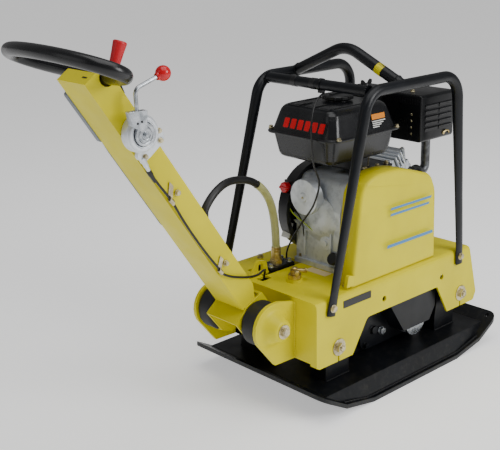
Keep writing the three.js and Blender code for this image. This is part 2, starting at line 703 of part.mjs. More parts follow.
function recoilGrip() {
  const [x, y, z] = [CRANK.x - 6, 150, CRANK.z + 14];
  return join(
    prismY(rounded([[x - 52, z - 10, 8], [x + 52, z - 10, 8], [x + 52, z + 10, 8], [x - 52, z + 10, 8]], 3), y, y + 20),
    disc(x, z, y - 9, y + 2, 12, 16, 20));
}

/** The tap's body with a wing to turn it by and a short outlet. */
function drainTap() {
  const { x, y } = TAP;
  const z = TAP.z + 8 + GAP;
  return join(
    rod([x, y, z], [x, y, z + 16], 15, 15, 6),
    rod([x, y, z + 13], [x, y, z + 31], 9, 8, 18),
    rod([x, y, z + 22], [x + 27, y - 19, z + 21], 5.5, 5.5, 12),
    rod([x, y, z + 23.5], [x - 13, y - 23, z + 22.5], 5, 5, 10));
}

// ---------------------------------------------------------------- hydraulics and cables
const HOSE = { x: -214, y: 80, z: 338, radius: 10, along: 226 };
function hoseFitting() {
  const { x, y, z } = HOSE;
  return join(
    block([x - 46, y - 26, DECK.top - 34], [x + 46, y + 26, z - 26]),
    rod([x, y, z - 28], [x, y, z - 12], 17, 17, 6),
    rod([x, y, z - 13], [x, y, z - GAP], 12, 11, 20));
}

function hydraulicHose() {
  const { x, y, z, radius } = HOSE;
  return tubeAlong([
    [x, y, z], [x - 1, y, z + 50], [x - 6, y, z + 100], [x - 25, 75, 492], [x - 55, 69, 532], [x - 106, 58, 568],
    [-388, 42, 588], [-440, 29, 590], [-488, 18, 572], [-519, 13, 541], at(HOSE.along, 12, TUBE.depth + 16),
    at(HOSE.along - 14, 12, TUBE.depth - 3),
  ], radius, 22, 10);
}

function throttleCable() {
  const side = -TUBE.half - 7;
  return tubeAlong([
    at(493, side, 3), at(450, side, 5), at(394, side, 8), at(330, side, 4), at(262, side, 3), at(200, side, 5),
    at(147, side, 9), at(135, side, 9.5), [-505, side - 1, 388], [-476, side - 1, 378], [-440, side + 2, 368],
    [-396, side + 18, 358], [-352, side + 46, 350], [-322, 11, 337], [-309, 28, 316], [-305, 34, 297], [-300, 34, 280],
  ], 3, 64, 8);
}

function engineCable() {
  return tubeAlong([
    [-158, 96, 286], [-160, 92, 330], [-168, 60, 380], [-176, 20, 430], [-190, -40, 500], [-192, -60, 560],
    [-214, -62, 612], [-222, -62, 680], [-214, -56, 740], [-180, -44, 776], [-148, -36, 786],
  ], 2.5, 52, 8);
}

function cableClip(along) {
  const y = -TUBE.half;
  const ring = rod(at(along - 7, y - 7, 8), at(along + 7, y - 7, 8), 9, 9, 16);
  const bore = rod(at(along - 8, y - 7, 8), at(along + 8, y - 7, 8), 4.6, 4.6, 12);
  const [x0, z0] = onHandle(along, 14);
  const [x1, z1] = onHandle(along, 40);
  const strap = rod([x0, y - 5, z0], [x1, y - 5, z1], 3.5, 3.5, 8);
  const foot = rod([x1, y - GAP, z1], [x1, y - 12, z1], 8, 8, 16);
  const tail = cut(join(ring, strap, foot), bore);
  const [cx, cz] = onHandle(along, 8);
  return cut(tail, block([cx - 14, y - GAP, cz - 14], [cx + 14, y + 12, cz + 14]));
}

// ---------------------------------------------------------------- handle
const handleOutline = (points) => points.map(([along, deep]) => onHandle(along, deep));

function handleTube() {
  const { half, depth, length, wall } = TUBE;
  const cutaway = 700;
  const outer = [
    [0, 0], [length, 0], [length, 36], [cutaway, depth - 2], [cutaway - 6, depth], [30, depth], [-10, depth - 20], [-10, 10],
  ];
  const inner = [
    [-30, wall], [length - wall, wall], [length - wall, 36 - wall], [cutaway, depth - wall - 2],
    [20, depth - wall], [-30, depth - 24],
  ];
  const beam = cut(
    prismY(handleOutline(outer).reverse(), -half, half),
    prismY(handleOutline(inner).reverse(), -half + wall, half - wall));
  // The yoke below the beam: two cheeks, a rear lip and a web in front.
  const { x, z } = PIVOT;
  const cheek = rounded([
    [-488, 253], [-440, 190, 14], [x + 14, 178, 14], [x + 46, 212, 20], [x + 52, z + 26], [x + 20, 316], [-452, 290], [-458, 278],
  ]);
  const cheeks = [-1, 1].map((side) => prismY(cheek, side > 0 ? 51 : -57, side > 0 ? 57 : -51));
  const lip = prismY([[-488, 253], [-484, 249], [-448, 274], [-452, 282]], -56, 56);
  const web = prismY([[x + 46, 214], [x + 52, z + 26], [x + 20, 316], [x + 14, 312], [x + 46, z + 24], [x + 40, 214]], -56, 56);
  const hub = disc(x, z, -56, 56, 22);
  const slot = prismY(handleOutline([[630, depth - 10], [684, depth - 10], [684, depth + 5], [630, depth + 5]]).reverse(), -14, 14);
  const [sx, sz] = loopFront();
  const seat = disc(sx, sz, -half - 2, half + 2, LOOP.radius + 5);
  const port = rod(at(HOSE.along - 12, 12, depth - 9), at(HOSE.along - 12, 12, depth + 4), 15, 15, 20);
  const bore = disc(x, z, -70, 70, 12);
  return cut(join(beam, ...cheeks, lip, web, hub), slot, seat, port, bore);
}

function handleBuffer(side) {
  const { x, z, ear: y, earSkin } = PIVOT;
  const ring = disc(x, z, side * (57 + GAP), side * (y - earSkin - GAP), 58, 58, 28);
  return cut(ring, disc(x, z, side * 50, side * (y + 5), 12));
}

function gripLoop() {
  const { x, z, halfWidth, halfDepth, tilt, radius, gapHalf } = LOOP;
  const lean = tilt * Math.PI / 180;
  const open = Math.asin((gapHalf + 4) / halfWidth);
  const points = [];
  const count = 22;
  for (let i = 0; i <= count; i += 1) {
    const t = open + (i / count) * (2 * Math.PI - 2 * open);
    const fore = halfDepth * Math.cos(t);
    points.push([x + fore * Math.cos(lean), halfWidth * Math.sin(t), z - fore * Math.sin(lean)]);
  }
  return tubeAlong(points, radius, 38, 10);
}

/** Where the loop's front strand crosses the beam, in X and Z. */
function loopFront() {
  const lean = LOOP.tilt * Math.PI / 180;
  const reach = LOOP.halfDepth * Math.sqrt(1 - (LOOP.gapHalf / LOOP.halfWidth) ** 2);
  return [LOOP.x + reach * Math.cos(lean), LOOP.z - reach * Math.sin(lean)];
}

/** The saddle that closes the loop's front and bolts it into the beam's cut-away. */
function loopBracket() {
  const { radius, gapHalf } = LOOP;
  const [cx, cz] = loopFront();
  const bar = rod([cx, -gapHalf, cz], [cx, gapHalf, cz], radius + 0.5, radius + 0.5, 24);
  const plate = prismY(handleOutline([
    [732, 45], [702, TUBE.depth - 1], [694, TUBE.depth + GAP], [658, TUBE.depth + GAP],
    [658, TUBE.depth + 7], [700, TUBE.depth + 15], [730, TUBE.depth + 2],
  ]).reverse(), -gapHalf, gapHalf);
  const notch = prismY(handleOutline([[634, TUBE.depth - 5], [695, TUBE.depth - 5], [695, TUBE.depth + 30], [634, TUBE.depth + 30]]).reverse(), -17, 17);
  return cut(join(bar, plate), notch);
}

const THROTTLE = { along: 578, deep: 36, radius: 42, thick: 28 };
function throttleHousing() {
  const { along, deep, radius, thick } = THROTTLE;
  const y = -TUBE.half - GAP;
  const [x, z] = onHandle(along, deep);
  const body = disc(x, z, y, y - thick, radius, radius - 2, 28);
  const foot = prismY(handleOutline([
    [along - 59, 6], [along - 61, 24], [along - 59, 76], [along - 33, 88], [along - 11, 60], [along - 11, 20], [along - 41, -4],
  ]).reverse(), y - 12, y);
  const nose = rod(at(along - 47, y - 8, 8), at(along - 84, y - 8, 4), 8, 5, 16);
  const seat = disc(x, z, y - thick + 12, y - thick - 2, 27, 27, 24);
  const bore = disc(x, z, y - 1, y - thick - 3, 8 + RUN);
  return cut(join(body, foot, nose), cut(seat, disc(x, z, y - thick + 11, y - 1, 1)), bore);
}

function throttleLever() {
  const { along, deep, thick } = THROTTLE;
  const y = -TUBE.half - thick;
  const [x, z] = onHandle(along, deep);
  const hub = join(disc(x, z, y - GAP + 11, y - 8, 26, 26, 24), disc(x, z, y + 20, y - 6, 8, 8, 16));
  const clamp = prismY([[x - 43, z + 25], [x - 16, z + 8], [x - 6, z + 14], [x - 3, z + 55], [x - 50, z + 57]], y - 19, y - 4);
  const arm = bentBar([
    [x - 26, y - 11, z + 44], [x - 25, -90, z + 64], [x - 26, -90, z + 101], [x + 37.6, -90, z + 121.3],
  ], 16, 4.5, 10, 5);
  return join(hub, clamp, arm);
}

function throttleBall() {
  const [x, z] = onHandle(THROTTLE.along, THROTTLE.deep);
  const ball = solid(new THREE.SphereGeometry(17, 18, 12).translate(x + 49, -90, z + 125));
  return cut(ball, rod([x + 22.3, -90, z + 116.5], [x + 39, -90, z + 121.8], 5.2, 5.2, 12));
}

const LEVER = { along: 640, deep: 32 };
const LEVER_FOOT = at(LEVER.along, 0, LEVER.deep);
const GRIP = { low: [-766, 0, 922], high: [-746, 0, 972] };
function travelLever() {
  const [x, , z] = LEVER_FOOT;
  const neck = [GRIP.low[0] + 4, 0, GRIP.low[2] + 10];
  return join(disc(x, z, -20, 20, 11, 11, 20), tubeAlong([[x, 0, z], [x + 12, 0, z + 40], [-770, 0, 900], neck], 5.5, 12, 10));
}

function travelGrip() {
  const { low, high } = GRIP;
  const sleeve = rod(low, high, 12, 15.5, 24);
  return cut(sleeve, rod([low[0] - 4, 0, low[2] - 10], [low[0] + 6.2, 0, low[2] + 14], 7.2, 7.2, 16));
}

/** The hand pump that shifts the exciter's weights, inside the beam. */
function travelPump() {
  const body = prismY(handleOutline([[500, 8], [622, 8], [622, 54], [500, 54]]).reverse(), -32, 32);
  return join(body, rod(at(502, 0, 30), at(470, 0, 30), 12, 12, 20));
}

/** The slim box on the beam's left side that shields the pump's linkage. */
function pumpCover() {
  const outline = rounded([[560, -2, 6], [704, -2, 6], [704, 48, 6], [560, 48, 6]], 2);
  return prismY(handleOutline(outline).reverse(), TUBE.half + GAP, TUBE.half + 16);
}

// ---------------------------------------------------------------- assembly
part('base_plate', basePlate(), BLACK);
part('base_deck', baseDeck(), BLACK);
part('exciter_housing', exciterHousing(), BLACK);
part('exciter_cover_right', exciterCover(-1), BLACK);
part('exciter_cover_left', exciterCover(1), BLACK);
part('eccentric_shaft_front', eccentricShaft(1), STEEL);
part('eccentric_shaft_rear', eccentricShaft(-1), STEEL);
part('driven_pulley', drivenPulley(), STEEL);

const ends = { rear: -1, front: 1 };
const sides = { right: -1, left: 1 };
Object.entries(ends).forEach(([endName, end]) => Object.entries(sides).forEach(([sideName, side]) => {
  part(`isolator_${endName}_${sideName}`, isolator(end, side), RUBBER);
  part(`mount_bolt_${endName}_${sideName}`, mountBolt(end, side), ZINC);
}));

part('deck_frame', deckFrame(), YELLOW);
part('belt_cover', beltCover(), YELLOW);
part('pulley_guard', pulleyGuard(), BLACK);
part('drive_belt', driveBelt(), RUBBER);
part('clutch_pulley', clutchPulley(), STEEL);
Object.entries(sides).forEach(([sideName, side]) => {
  part(`cage_hoop_${sideName}`, cageHoop(side), BLACK);
  part(`handle_buffer_${sideName}`, handleBuffer(side), RUBBER);
  part(`pivot_bolt_${sideName}`, pivotBolt(side), ZINC);
});
part('cage_crossbar', cageCrossbar(), BLACK);
part('lifting_bail', liftingBail(), BLACK);

part('crankcase', crankcase(), CAST);
part('crankcase_cover', crankcaseCover(), CAST);
part('cylinder_head', cylinderHead(), CAST);
part('round_cover', roundCover(), CAST);
part('fan_shroud', fanShroud(), MOULDED);
part('fuel_tank', fuelTank(), MOULDED);
part('fuel_cap', fuelCap(), MOULDED);
part('muffler', muffler(), BLACK);
part('exhaust_pipe', exhaustPipe(), STEEL);
part('air_cleaner', airCleaner(), MOULDED);
part('air_cleaner_knob', cleanerKnob(), MOULDED);
part('carburettor', carburettor(), CAST);
part('engine_switch', engineSwitch(), RED);
part('recoil_grip', recoilGrip(), MOULDED);

part('hose_fitting', hoseFitting(), ZINC);
part('hydraulic_hose', hydraulicHose(), RUBBER);
part('throttle_cable', throttleCable(), RUBBER);
part('engine_cable', engineCable(), RUBBER);

part('handle_tube', handleTube(), YELLOW);
part('grip_loop', gripLoop(), RUBBER);
part('loop_bracket', loopBracket(), BLACK);
part('throttle_housing', throttleHousing(), CAST);
part('throttle_lever', throttleLever(), ZINC);
part('throttle_ball', throttleBall(), RED);
part('travel_lever', travelLever(), ZINC);
part('travel_grip', travelGrip(), RED);
part('travel_pump', travelPump(), STEEL);
part('pump_cover', pumpCover(), GREY);
part('cable_clip_upper', cableClip(394), ZINC);
part('cable_clip_lower', cableClip(147), ZINC);

part('drain_tap', drainTap(), ZINC);

export default group;
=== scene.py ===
"""Reversible plate compactor: its looks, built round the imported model."""

import json
import math

import bmesh
import bpy
from mathutils import Matrix, Vector


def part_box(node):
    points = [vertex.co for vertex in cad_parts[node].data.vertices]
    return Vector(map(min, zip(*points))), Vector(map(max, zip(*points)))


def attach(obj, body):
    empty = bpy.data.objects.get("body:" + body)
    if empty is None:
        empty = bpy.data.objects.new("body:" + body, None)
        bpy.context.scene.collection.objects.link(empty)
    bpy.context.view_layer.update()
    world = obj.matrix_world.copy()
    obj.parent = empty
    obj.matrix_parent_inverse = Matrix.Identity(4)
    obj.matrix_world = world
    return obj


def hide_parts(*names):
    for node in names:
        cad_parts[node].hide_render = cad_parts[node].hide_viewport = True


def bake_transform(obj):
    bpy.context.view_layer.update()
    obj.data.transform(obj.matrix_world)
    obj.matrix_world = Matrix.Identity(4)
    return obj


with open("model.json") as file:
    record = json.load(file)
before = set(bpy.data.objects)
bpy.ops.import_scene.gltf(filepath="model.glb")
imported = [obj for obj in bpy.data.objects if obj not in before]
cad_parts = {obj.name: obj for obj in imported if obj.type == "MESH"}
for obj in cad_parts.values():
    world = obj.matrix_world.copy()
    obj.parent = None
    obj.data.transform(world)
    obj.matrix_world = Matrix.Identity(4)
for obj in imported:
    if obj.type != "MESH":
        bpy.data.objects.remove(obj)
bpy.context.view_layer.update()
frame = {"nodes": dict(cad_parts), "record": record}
scene = bpy.context.scene

MM = 0.001
RIGHT, LEFT = -1, 1


def mm(x, y, z):
    return Vector((x, y, z)) * MM


# ---------------------------------------------------------------- camera
def make_camera():
    """A long lens from behind the machine's right side, a little above the engine."""
    azimuth, elevation, roll = math.radians(-42.61), math.radians(17.57), math.radians(-1.20)
    back = Vector(
        (
            math.sin(azimuth) * math.cos(elevation), -math.cos(azimuth) * math.cos(elevation),
            math.sin(elevation)))
    level = Vector((math.cos(azimuth), math.sin(azimuth), 0))
    up = back.cross(level)
    right = level * math.cos(roll) + up * math.sin(roll)
    top = up * math.cos(roll) - level * math.sin(roll)
    data = bpy.data.cameras.new("camera")
    data.lens = 70.20
    data.sensor_width = 36
    data.clip_end = 50
    camera = bpy.data.objects.new("camera", data)
    scene.collection.objects.link(camera)
    place = mm(-1969.34, -1725.33, 1219.76)
    camera.matrix_world = Matrix((
        (right.x, top.x, back.x, place.x), (right.y, top.y, back.y, place.y),
        (right.z, top.z, back.z, place.z), (0, 0, 0, 1)))
    scene.camera = camera


make_camera()


# ---------------------------------------------------------------- finishes
RGBA = {"data_type": "RGBA"}


def to_linear(hex_colour):
    """An sRGB hex colour as linear red, green, blue and alpha."""
    parts = [int(hex_colour[i : i + 2], 16) / 255 for i in (1, 3, 5)]
    return tuple(c / 12.92 if c <= 0.04045 else ((c + 0.055) / 1.055) ** 2.4 for c in parts) + (1.0,)


def add(tree, kind, inputs=None, out=0, settings=None):
    """Adds a shader node with its inputs, as values or as links from other outputs, and its settings."""
    made = tree.nodes.new("ShaderNode" + kind)
    for name, value in (settings or {}).items():
        setattr(made, name, value)
    for name, value in (inputs or {}).items():
        if isinstance(value, bpy.types.NodeSocket):
            tree.links.new(value, made.inputs[name])
        else:
            made.inputs[name].default_value = value
    return made.outputs[out]


def start_material(name):
    """A new material with an empty node tree, and its Object coordinates."""
    material = bpy.data.materials.new(name)
    material.use_nodes = True
    tree = material.node_tree
    tree.nodes.clear()
    return material, tree, add(tree, "TexCoord", out="Object")


def end_material(material, tree, surface):
    end = tree.nodes.new("ShaderNodeOutputMaterial")
    tree.links.new(add(tree, "BsdfPrincipled", surface), end.inputs["Surface"])
    return material


def per_mm(size):
    """The scale of a pattern whose features are that many millimetres wide."""
    return 1000 / size


DUSTY_UP_TO, CLEAN_FROM = 0.02, 0.22


def powder_coat(name, colour, shade, roughness, peel, dust=None):
    """Powder coat on steel: one even colour with a slight orange peel, duller in broad patches.

    With dust, dry soil lies in scuffs near the ground and thins out with height."""
    material, tree, place = start_material(name)
    patches = add(tree, "TexNoise", {"Vector": place, "Scale": per_mm(120), "Detail": 4})
    patches = add(tree, "MapRange", {"Value": patches, "From Min": 0.35, "From Max": 0.7})
    paint = add(tree, "Mix", {0: patches, 6: to_linear(colour), 7: to_linear(shade)}, out=2, settings=RGBA)
    if dust:
        height = add(tree, "SeparateXYZ", {"Vector": place}, out="Z")
        low = add(
            tree, "MapRange",
            {"Value": height, "From Min": DUSTY_UP_TO, "From Max": CLEAN_FROM, "To Min": 1.0, "To Max": 0.1})
        scuffs = add(tree, "TexNoise", {"Vector": place, "Scale": per_mm(16), "Detail": 8, "Roughness": 0.7})
        scuffs = add(tree, "MapRange", {"Value": scuffs, "From Min": 0.5, "From Max": 0.78, "To Max": 0.5})
        amount = add(tree, "Math", {0: low, 1: scuffs}, settings={"operation": "MULTIPLY"})
        paint = add(tree, "Mix", {0: amount, 6: paint, 7: to_linear(dust)}, out=2, settings=RGBA)
    dull = add(tree, "TexNoise", {"Vector": place, "Scale": per_mm(35), "Detail": 3})
    dull = add(
        tree, "MapRange",
        {
            "Value": dull, "From Min": 0.3, "From Max": 0.7, "To Min": roughness - 0.05,
            "To Max": roughness + 0.06})
    skin = add(tree, "TexNoise", {"Vector": place, "Scale": per_mm(3.5), "Detail": 2})
    return end_material(
        material, tree,
        {
            "Base Color": paint, "Roughness": dull, "Specular IOR Level": 0.3,
            "Normal": add(tree, "Bump", {"Height": skin, "Distance": peel * MM, "Strength": 1.0})})


def moulded(name, colour, roughness, grain, depth, worn=1.45):
    """Moulded plastic or rubber: one colour, paler where it is rubbed, with the fine grain of its mould."""
    material, tree, place = start_material(name)
    cloud = add(tree, "TexNoise", {"Vector": place, "Scale": per_mm(60), "Detail": 4})
    rubbed = add(tree, "MapRange", {"Value": cloud, "From Min": 0.4, "From Max": 0.75, "To Max": 0.8})
    fresh = to_linear(colour)
    pale = tuple(min(1.0, c * worn + 0.002) for c in fresh[:3]) + (1.0,)
    dull = add(
        tree, "MapRange",
        {
            "Value": cloud, "From Min": 0.3, "From Max": 0.7, "To Min": roughness - 0.06,
            "To Max": roughness + 0.06})
    skin = add(tree, "TexNoise", {"Vector": place, "Scale": per_mm(grain), "Detail": 2})
    return end_material(
        material, tree,
        {
            "Base Color": add(tree, "Mix", {0: rubbed, 6: fresh, 7: pale}, out=2, settings=RGBA),
            "Roughness": dull,
            "Normal": add(tree, "Bump", {"Height": skin, "Distance": depth * MM, "Strength": 1.0})})


def cast_metal(name, colour, shade, roughness, grit, depth, metallic=0.85):
    """Cast aluminium: a fine gritty skin that is darker and duller where it holds grime."""
    material, tree, place = start_material(name)
    grime = add(tree, "TexNoise", {"Vector": place, "Scale": per_mm(30), "Detail": 5, "Roughness": 0.6})
    dark = add(tree, "MapRange", {"Value": grime, "From Min": 0.5, "From Max": 0.75})
    dull = add(
        tree, "MapRange",
        {
            "Value": grime, "From Min": 0.3, "From Max": 0.7, "To Min": roughness - 0.06,
            "To Max": roughness + 0.1})
    grains = add(tree, "TexVoronoi", {"Vector": place, "Scale": per_mm(grit)})
    fine = add(tree, "TexNoise", {"Vector": place, "Scale": per_mm(grit * 0.7), "Detail": 3})
    skin = add(tree, "Math", {0: grains, 1: fine}, settings={"operation": "ADD"})
    return end_material(
        material, tree,
        {
            "Base Color": add(
                tree, "Mix", {0: dark, 6: to_linear(colour), 7: to_linear(shade)}, out=2, settings=RGBA),
            "Metallic": metallic, "Roughness": dull,
            "Normal": add(tree, "Bump", {"Height": skin, "Distance": depth * MM, "Strength": 1.0})})


def worked_metal(name, colour, shade, roughness, lines=4.0):
    """Turned or plated metal: fine tool lines, and a slightly uneven colour in the plating."""
    material, tree, place = start_material(name)
    drawn = add(tree, "Mapping", {"Vector": place, "Scale": (1.0, 6.0, 1.0)})
    marks = add(tree, "TexNoise", {"Vector": drawn, "Scale": per_mm(lines), "Detail": 2})
    tint = add(tree, "TexNoise", {"Vector": place, "Scale": per_mm(16), "Detail": 4})
    tint = add(tree, "MapRange", {"Value": tint, "From Min": 0.4, "From Max": 0.65})
    dull = add(
        tree, "MapRange",
        {
            "Value": marks, "From Min": 0.3, "From Max": 0.7, "To Min": roughness - 0.06,
            "To Max": roughness + 0.08})
    return end_material(
        material, tree,
        {
            "Base Color": add(
                tree, "Mix", {0: tint, 6: to_linear(colour), 7: to_linear(shade)}, out=2, settings=RGBA),
            "Metallic": 0.95, "Roughness": dull,
            "Normal": add(tree, "Bump", {"Height": marks, "Distance": 0.05 * MM, "Strength": 1.0})})


def clear_vinyl(name):
    """Yellowed clear vinyl sleeve: a soft glossy skin that the dark hose shows through a little."""
    material, tree, place = start_material(name)
    cloud = add(tree, "TexNoise", {"Vector": place, "Scale": per_mm(25), "Detail": 3})
    ripple = add(tree, "TexNoise", {"Vector": place, "Scale": per_mm(9), "Detail": 2})
    return end_material(
        material, tree,
        {
            "Base Color": add(
                tree, "Mix", {0: cloud, 6: to_linear("#CFCF92"), 7: to_linear("#A9A868")}, out=2,
                settings=RGBA),
            "Roughness": 0.2, "Transmission Weight": 0.12, "IOR": 1.5,
            "Normal": add(tree, "Bump", {"Height": ripple, "Distance": 0.15 * MM, "Strength": 1.0})})


YELLOW = powder_coat("gloss_powder_coat_yellow", "#DDD000", "#D1C400", 0.42, 0.05)
BLACK = powder_coat("satin_powder_coat_black", "#0E1116", "#0A0C10", 0.34, 0.06)
SOLE_BLACK = powder_coat("scuffed_black_enamel", "#0C0F14", "#08090D", 0.36, 0.10, dust="#3E3C38")
GREY = powder_coat("satin_enamel_grey", "#7C8288", "#6C7278", 0.45, 0.05)
HEATPROOF = powder_coat("heatproof_black_enamel", "#0F1013", "#0A0B0D", 0.32, 0.05)
HOUSING = moulded("moulded_nylon_black", "#0E0F11", 0.36, 1.2, 0.05)
TANK_BLACK = moulded("enamelled_tank_black", "#101114", 0.27, 5.0, 0.04)
RUBBER = moulded("moulded_rubber_black", "#111214", 0.60, 1.6, 0.06)
DIPPED = moulded("dipped_vinyl_black", "#0B0C0F", 0.27, 7.0, 0.08)
HOSE_RUBBER = moulded("wrapped_hose_rubber", "#121213", 0.45, 1.8, 0.12)
CABLE = moulded("extruded_vinyl_black", "#09090B", 0.38, 4.0, 0.03)
EARTH_LEAD = moulded("vinyl_lead_yellow_green", "#9DB420", 0.40, 4.0, 0.03)
CAST = cast_metal("sand_cast_aluminium", "#D4D9DF", "#A9AFB7", 0.46, 1.6, 0.08, 0.5)
DIE_CAST = cast_metal("die_cast_aluminium", "#DDE1E6", "#BFC4CB", 0.38, 2.2, 0.04, 0.55)
ZINC = worked_metal("yellow_zinc_plate", "#CDC3A0", "#A2977A", 0.30)
STEEL = worked_metal("bright_steel", "#C2C6CB", "#959A9F", 0.26)
PIPE = worked_metal("heat_dulled_steel", "#6F7174", "#4A4A4B", 0.42)
BRASS = worked_metal("brass", "#D9C58A", "#A98F55", 0.32)
RED = moulded("phenolic_red", "#C40B18", 0.14, 8.0, 0.02, worn=1.1)
RED_RUBBER = moulded("soft_vinyl_red", "#BE101D", 0.38, 1.6, 0.05, worn=1.15)
LABEL_WHITE = moulded("printed_label_white", "#CFCFCB", 0.40, 6.0, 0.02, worn=1.0)
LABEL_ORANGE = moulded("printed_label_orange", "#D9821C", 0.40, 6.0, 0.02, worn=1.0)
LABEL_PEACH = moulded("printed_label_peach", "#E9D3A0", 0.40, 6.0, 0.02, worn=1.0)
LABEL_BLUE = moulded("printed_label_blue", "#3E7FB5", 0.40, 6.0, 0.02, worn=1.0)
LABEL_BLACK = moulded("printed_label_black", "#0A0A0A", 0.35, 6.0, 0.02, worn=1.0)
SLEEVE = clear_vinyl("yellowed_clear_vinyl")

# The finishes in each slot. The first is also the one for the model's own pieces.
SLOT_FINISHES = {
    "yellow_paint": (YELLOW, LABEL_PEACH, LABEL_BLUE), "black_paint": (BLACK, SOLE_BLACK, HEATPROOF),
    "black_plastic": (HOUSING, CABLE, EARTH_LEAD, TANK_BLACK, LABEL_BLACK, LABEL_ORANGE, LABEL_WHITE),
    "rubber": (RUBBER, HOSE_RUBBER, SLEEVE, DIPPED), "cast_aluminium": (CAST, DIE_CAST),
    "zinc": (ZINC, BRASS), "steel": (STEEL, PIPE), "red_plastic": (RED, RED_RUBBER), "grey_paint": (GREY,)}


# ---------------------------------------------------------------- stage
def make_stage():
    """A pale floor, a large soft light above, a strong one on the right and a faint one behind."""
    bm = bmesh.new()
    bmesh.ops.create_grid(bm, x_segments=1, y_segments=1, size=30)
    mesh = bpy.data.meshes.new("floor")
    bm.to_mesh(mesh)
    bm.free()
    floor = bpy.data.objects.new("floor", mesh)
    material, tree, place = start_material("matte_white_floor")
    cloud = add(tree, "TexNoise", {"Vector": place, "Scale": per_mm(400), "Detail": 2})
    mesh.materials.append(end_material(
        material, tree,
        {
            "Base Color": add(
                tree, "Mix", {0: cloud, 6: to_linear("#F6F6F6"), 7: to_linear("#FAFAFA")}, out=2,
                settings=RGBA),
            "Roughness": 0.9, "Emission Color": to_linear("#FFFFFF"), "Emission Strength": 0.5}))
    scene.collection.objects.link(floor)
    world = bpy.data.worlds.new("studio")
    world.use_nodes = True
    scene.world = world
    background = world.node_tree.nodes["Background"]
    background.inputs["Color"].default_value = (1.0, 1.0, 1.0, 1.0)
    background.inputs["Strength"].default_value = 0.22
    lamps = [
        ("light_top", (-0.3, -0.6, 3.4), (0.0, 0.0, 0.3), 3.0, 58),
        ("light_right", (0.9, -3.3, 2.2), (0.0, 0.0, 0.4), 1.8, 84),
        ("light_rear", (-3.6, 0.8, 1.9), (-0.3, 0.0, 0.5), 1.8, 6)]
    for name, place, target, size, power in lamps:
        data = bpy.data.lights.new(name, "AREA")
        data.size = size
        data.energy = power
        lamp = bpy.data.objects.new(name, data)
        lamp.location = place
        lamp.rotation_euler = (Vector(target) - Vector(place)).to_track_quat("-Z", "Y").to_euler()
        scene.collection.objects.link(lamp)


make_stage()


# ---------------------------------------------------------------- shaping
def aim(place, direction, turn=0.0):
    """A frame at place whose Z axis points along direction."""
    quaternion = Vector(direction).to_track_quat("Z", "Y")
    return Matrix.Translation(place) @ quaternion.to_matrix().to_4x4() @ Matrix.Rotation(turn, 4, "Z")


def placed(shape, placing, direction=None):
    """The shape moved by a frame, or to a place with its Z axis along direction."""
    shape.transform(placing if direction is None else aim(placing, direction))
    return shape


def lathe(profile, steps=32):
    """A turned shape about Z from a profile of radius and height in millimetres."""
    shape = bmesh.new()
    points = [shape.verts.new((radius * MM, 0, height * MM)) for radius, height in profile]
    edges = [shape.edges.new(pair) for pair in zip(points, points[1:])]
    bmesh.ops.spin(
        shape, geom=points + edges, cent=(0, 0, 0), axis=(0, 0, 1), dvec=(0, 0, 0), angle=2 * math.pi,
        steps=steps, use_merge=True, use_duplicate=False)
    bmesh.ops.remove_doubles(shape, verts=shape.verts, dist=1e-6)
    return shape


def disc(radius, low, high, edge=0.6, steps=32):
    """A round disc about Z with rounded rims, in millimetres."""
    return lathe([
        (0, low), (radius - edge, low), (radius, low + edge), (radius, high - edge), (radius - edge, high),
        (0, high),
    ], steps)


def ring(inner, outer, low, high, edge=0.5, steps=32):
    """A washer or collar about Z, in millimetres."""
    return lathe([
        (inner, low), (outer - edge, low), (outer, low + edge), (outer, high - edge), (outer - edge, high),
        (inner, high), (inner, low),
    ], steps)


def hexagon(across, low, high, turn=0.0):
    """A hexagon head or nut about Z, its corners turned off at the top, in millimetres."""
    shape = bmesh.new()
    radius = across / 2 / math.cos(math.pi / 6)
    bmesh.ops.create_cone(
        shape, cap_ends=True, segments=6, radius1=radius * MM, radius2=radius * MM, depth=(high - low) * MM,
        matrix=Matrix.Translation((0, 0, (high + low) / 2 * MM)) @ Matrix.Rotation(turn, 4, "Z"))
    top = max(v.co.z for v in shape.verts)
    rim = [v for v in shape.verts if v.co.z > top - 1e-6]
    bmesh.ops.bevel(
        shape, geom=rim, offset=radius * 0.10 * MM, affect="VERTICES", segments=2, profile=0.5, material=-1)
    return shape


def plate(outline, across, depth, corners=None, segments=4):
    """A flat plate: its outline's points, thickened by the vector across times depth in millimetres.

    corners gives each outline point a rounding in millimetres."""
    shape = bmesh.new()
    points = [shape.verts.new(p) for p in outline]
    shape.faces.new(points)
    for radius in sorted({r for r in corners or [] if r}):
        chosen = [p for p, r in zip(points, corners) if r == radius]
        bmesh.ops.bevel(
            shape, geom=chosen, offset=radius * MM, affect="VERTICES", segments=segments, profile=0.5,
            material=-1)
    grown = bmesh.ops.extrude_face_region(shape, geom=shape.faces[:])["geom"]
    moved = [g for g in grown if isinstance(g, bmesh.types.BMVert)]
    bmesh.ops.translate(shape, verts=moved, vec=Vector(across) * depth * MM)
    return shape


def side_plate(points, y0, y1, corners=None, segments=4):
    """A plate whose outline is in X and Z, from y0 to y1."""
    return plate([mm(x, y0, z) for x, z in points], (0, 1, 0), y1 - y0, corners, segments)


def flat_plate(points, z0, z1, corners=None, segments=4):
    """A plate whose outline is in X and Y, from z0 to z1."""
    return plate([mm(x, y, z0) for x, y in points], (0, 0, 1), z1 - z0, corners, segments)


def end_plate(points, x0, x1, corners=None, segments=4):
    """A plate whose outline is in Y and Z, from x0 to x1."""
    return plate([mm(x0, y, z) for y, z in points], (1, 0, 0), x1 - x0, corners, segments)


def block(low, high):
    """A box between two corners, in millimetres."""
    return flat_plate([
        (low[0], low[1]), (high[0], low[1]), (high[0], high[1]), (low[0], high[1]),
    ], low[2], high[2])


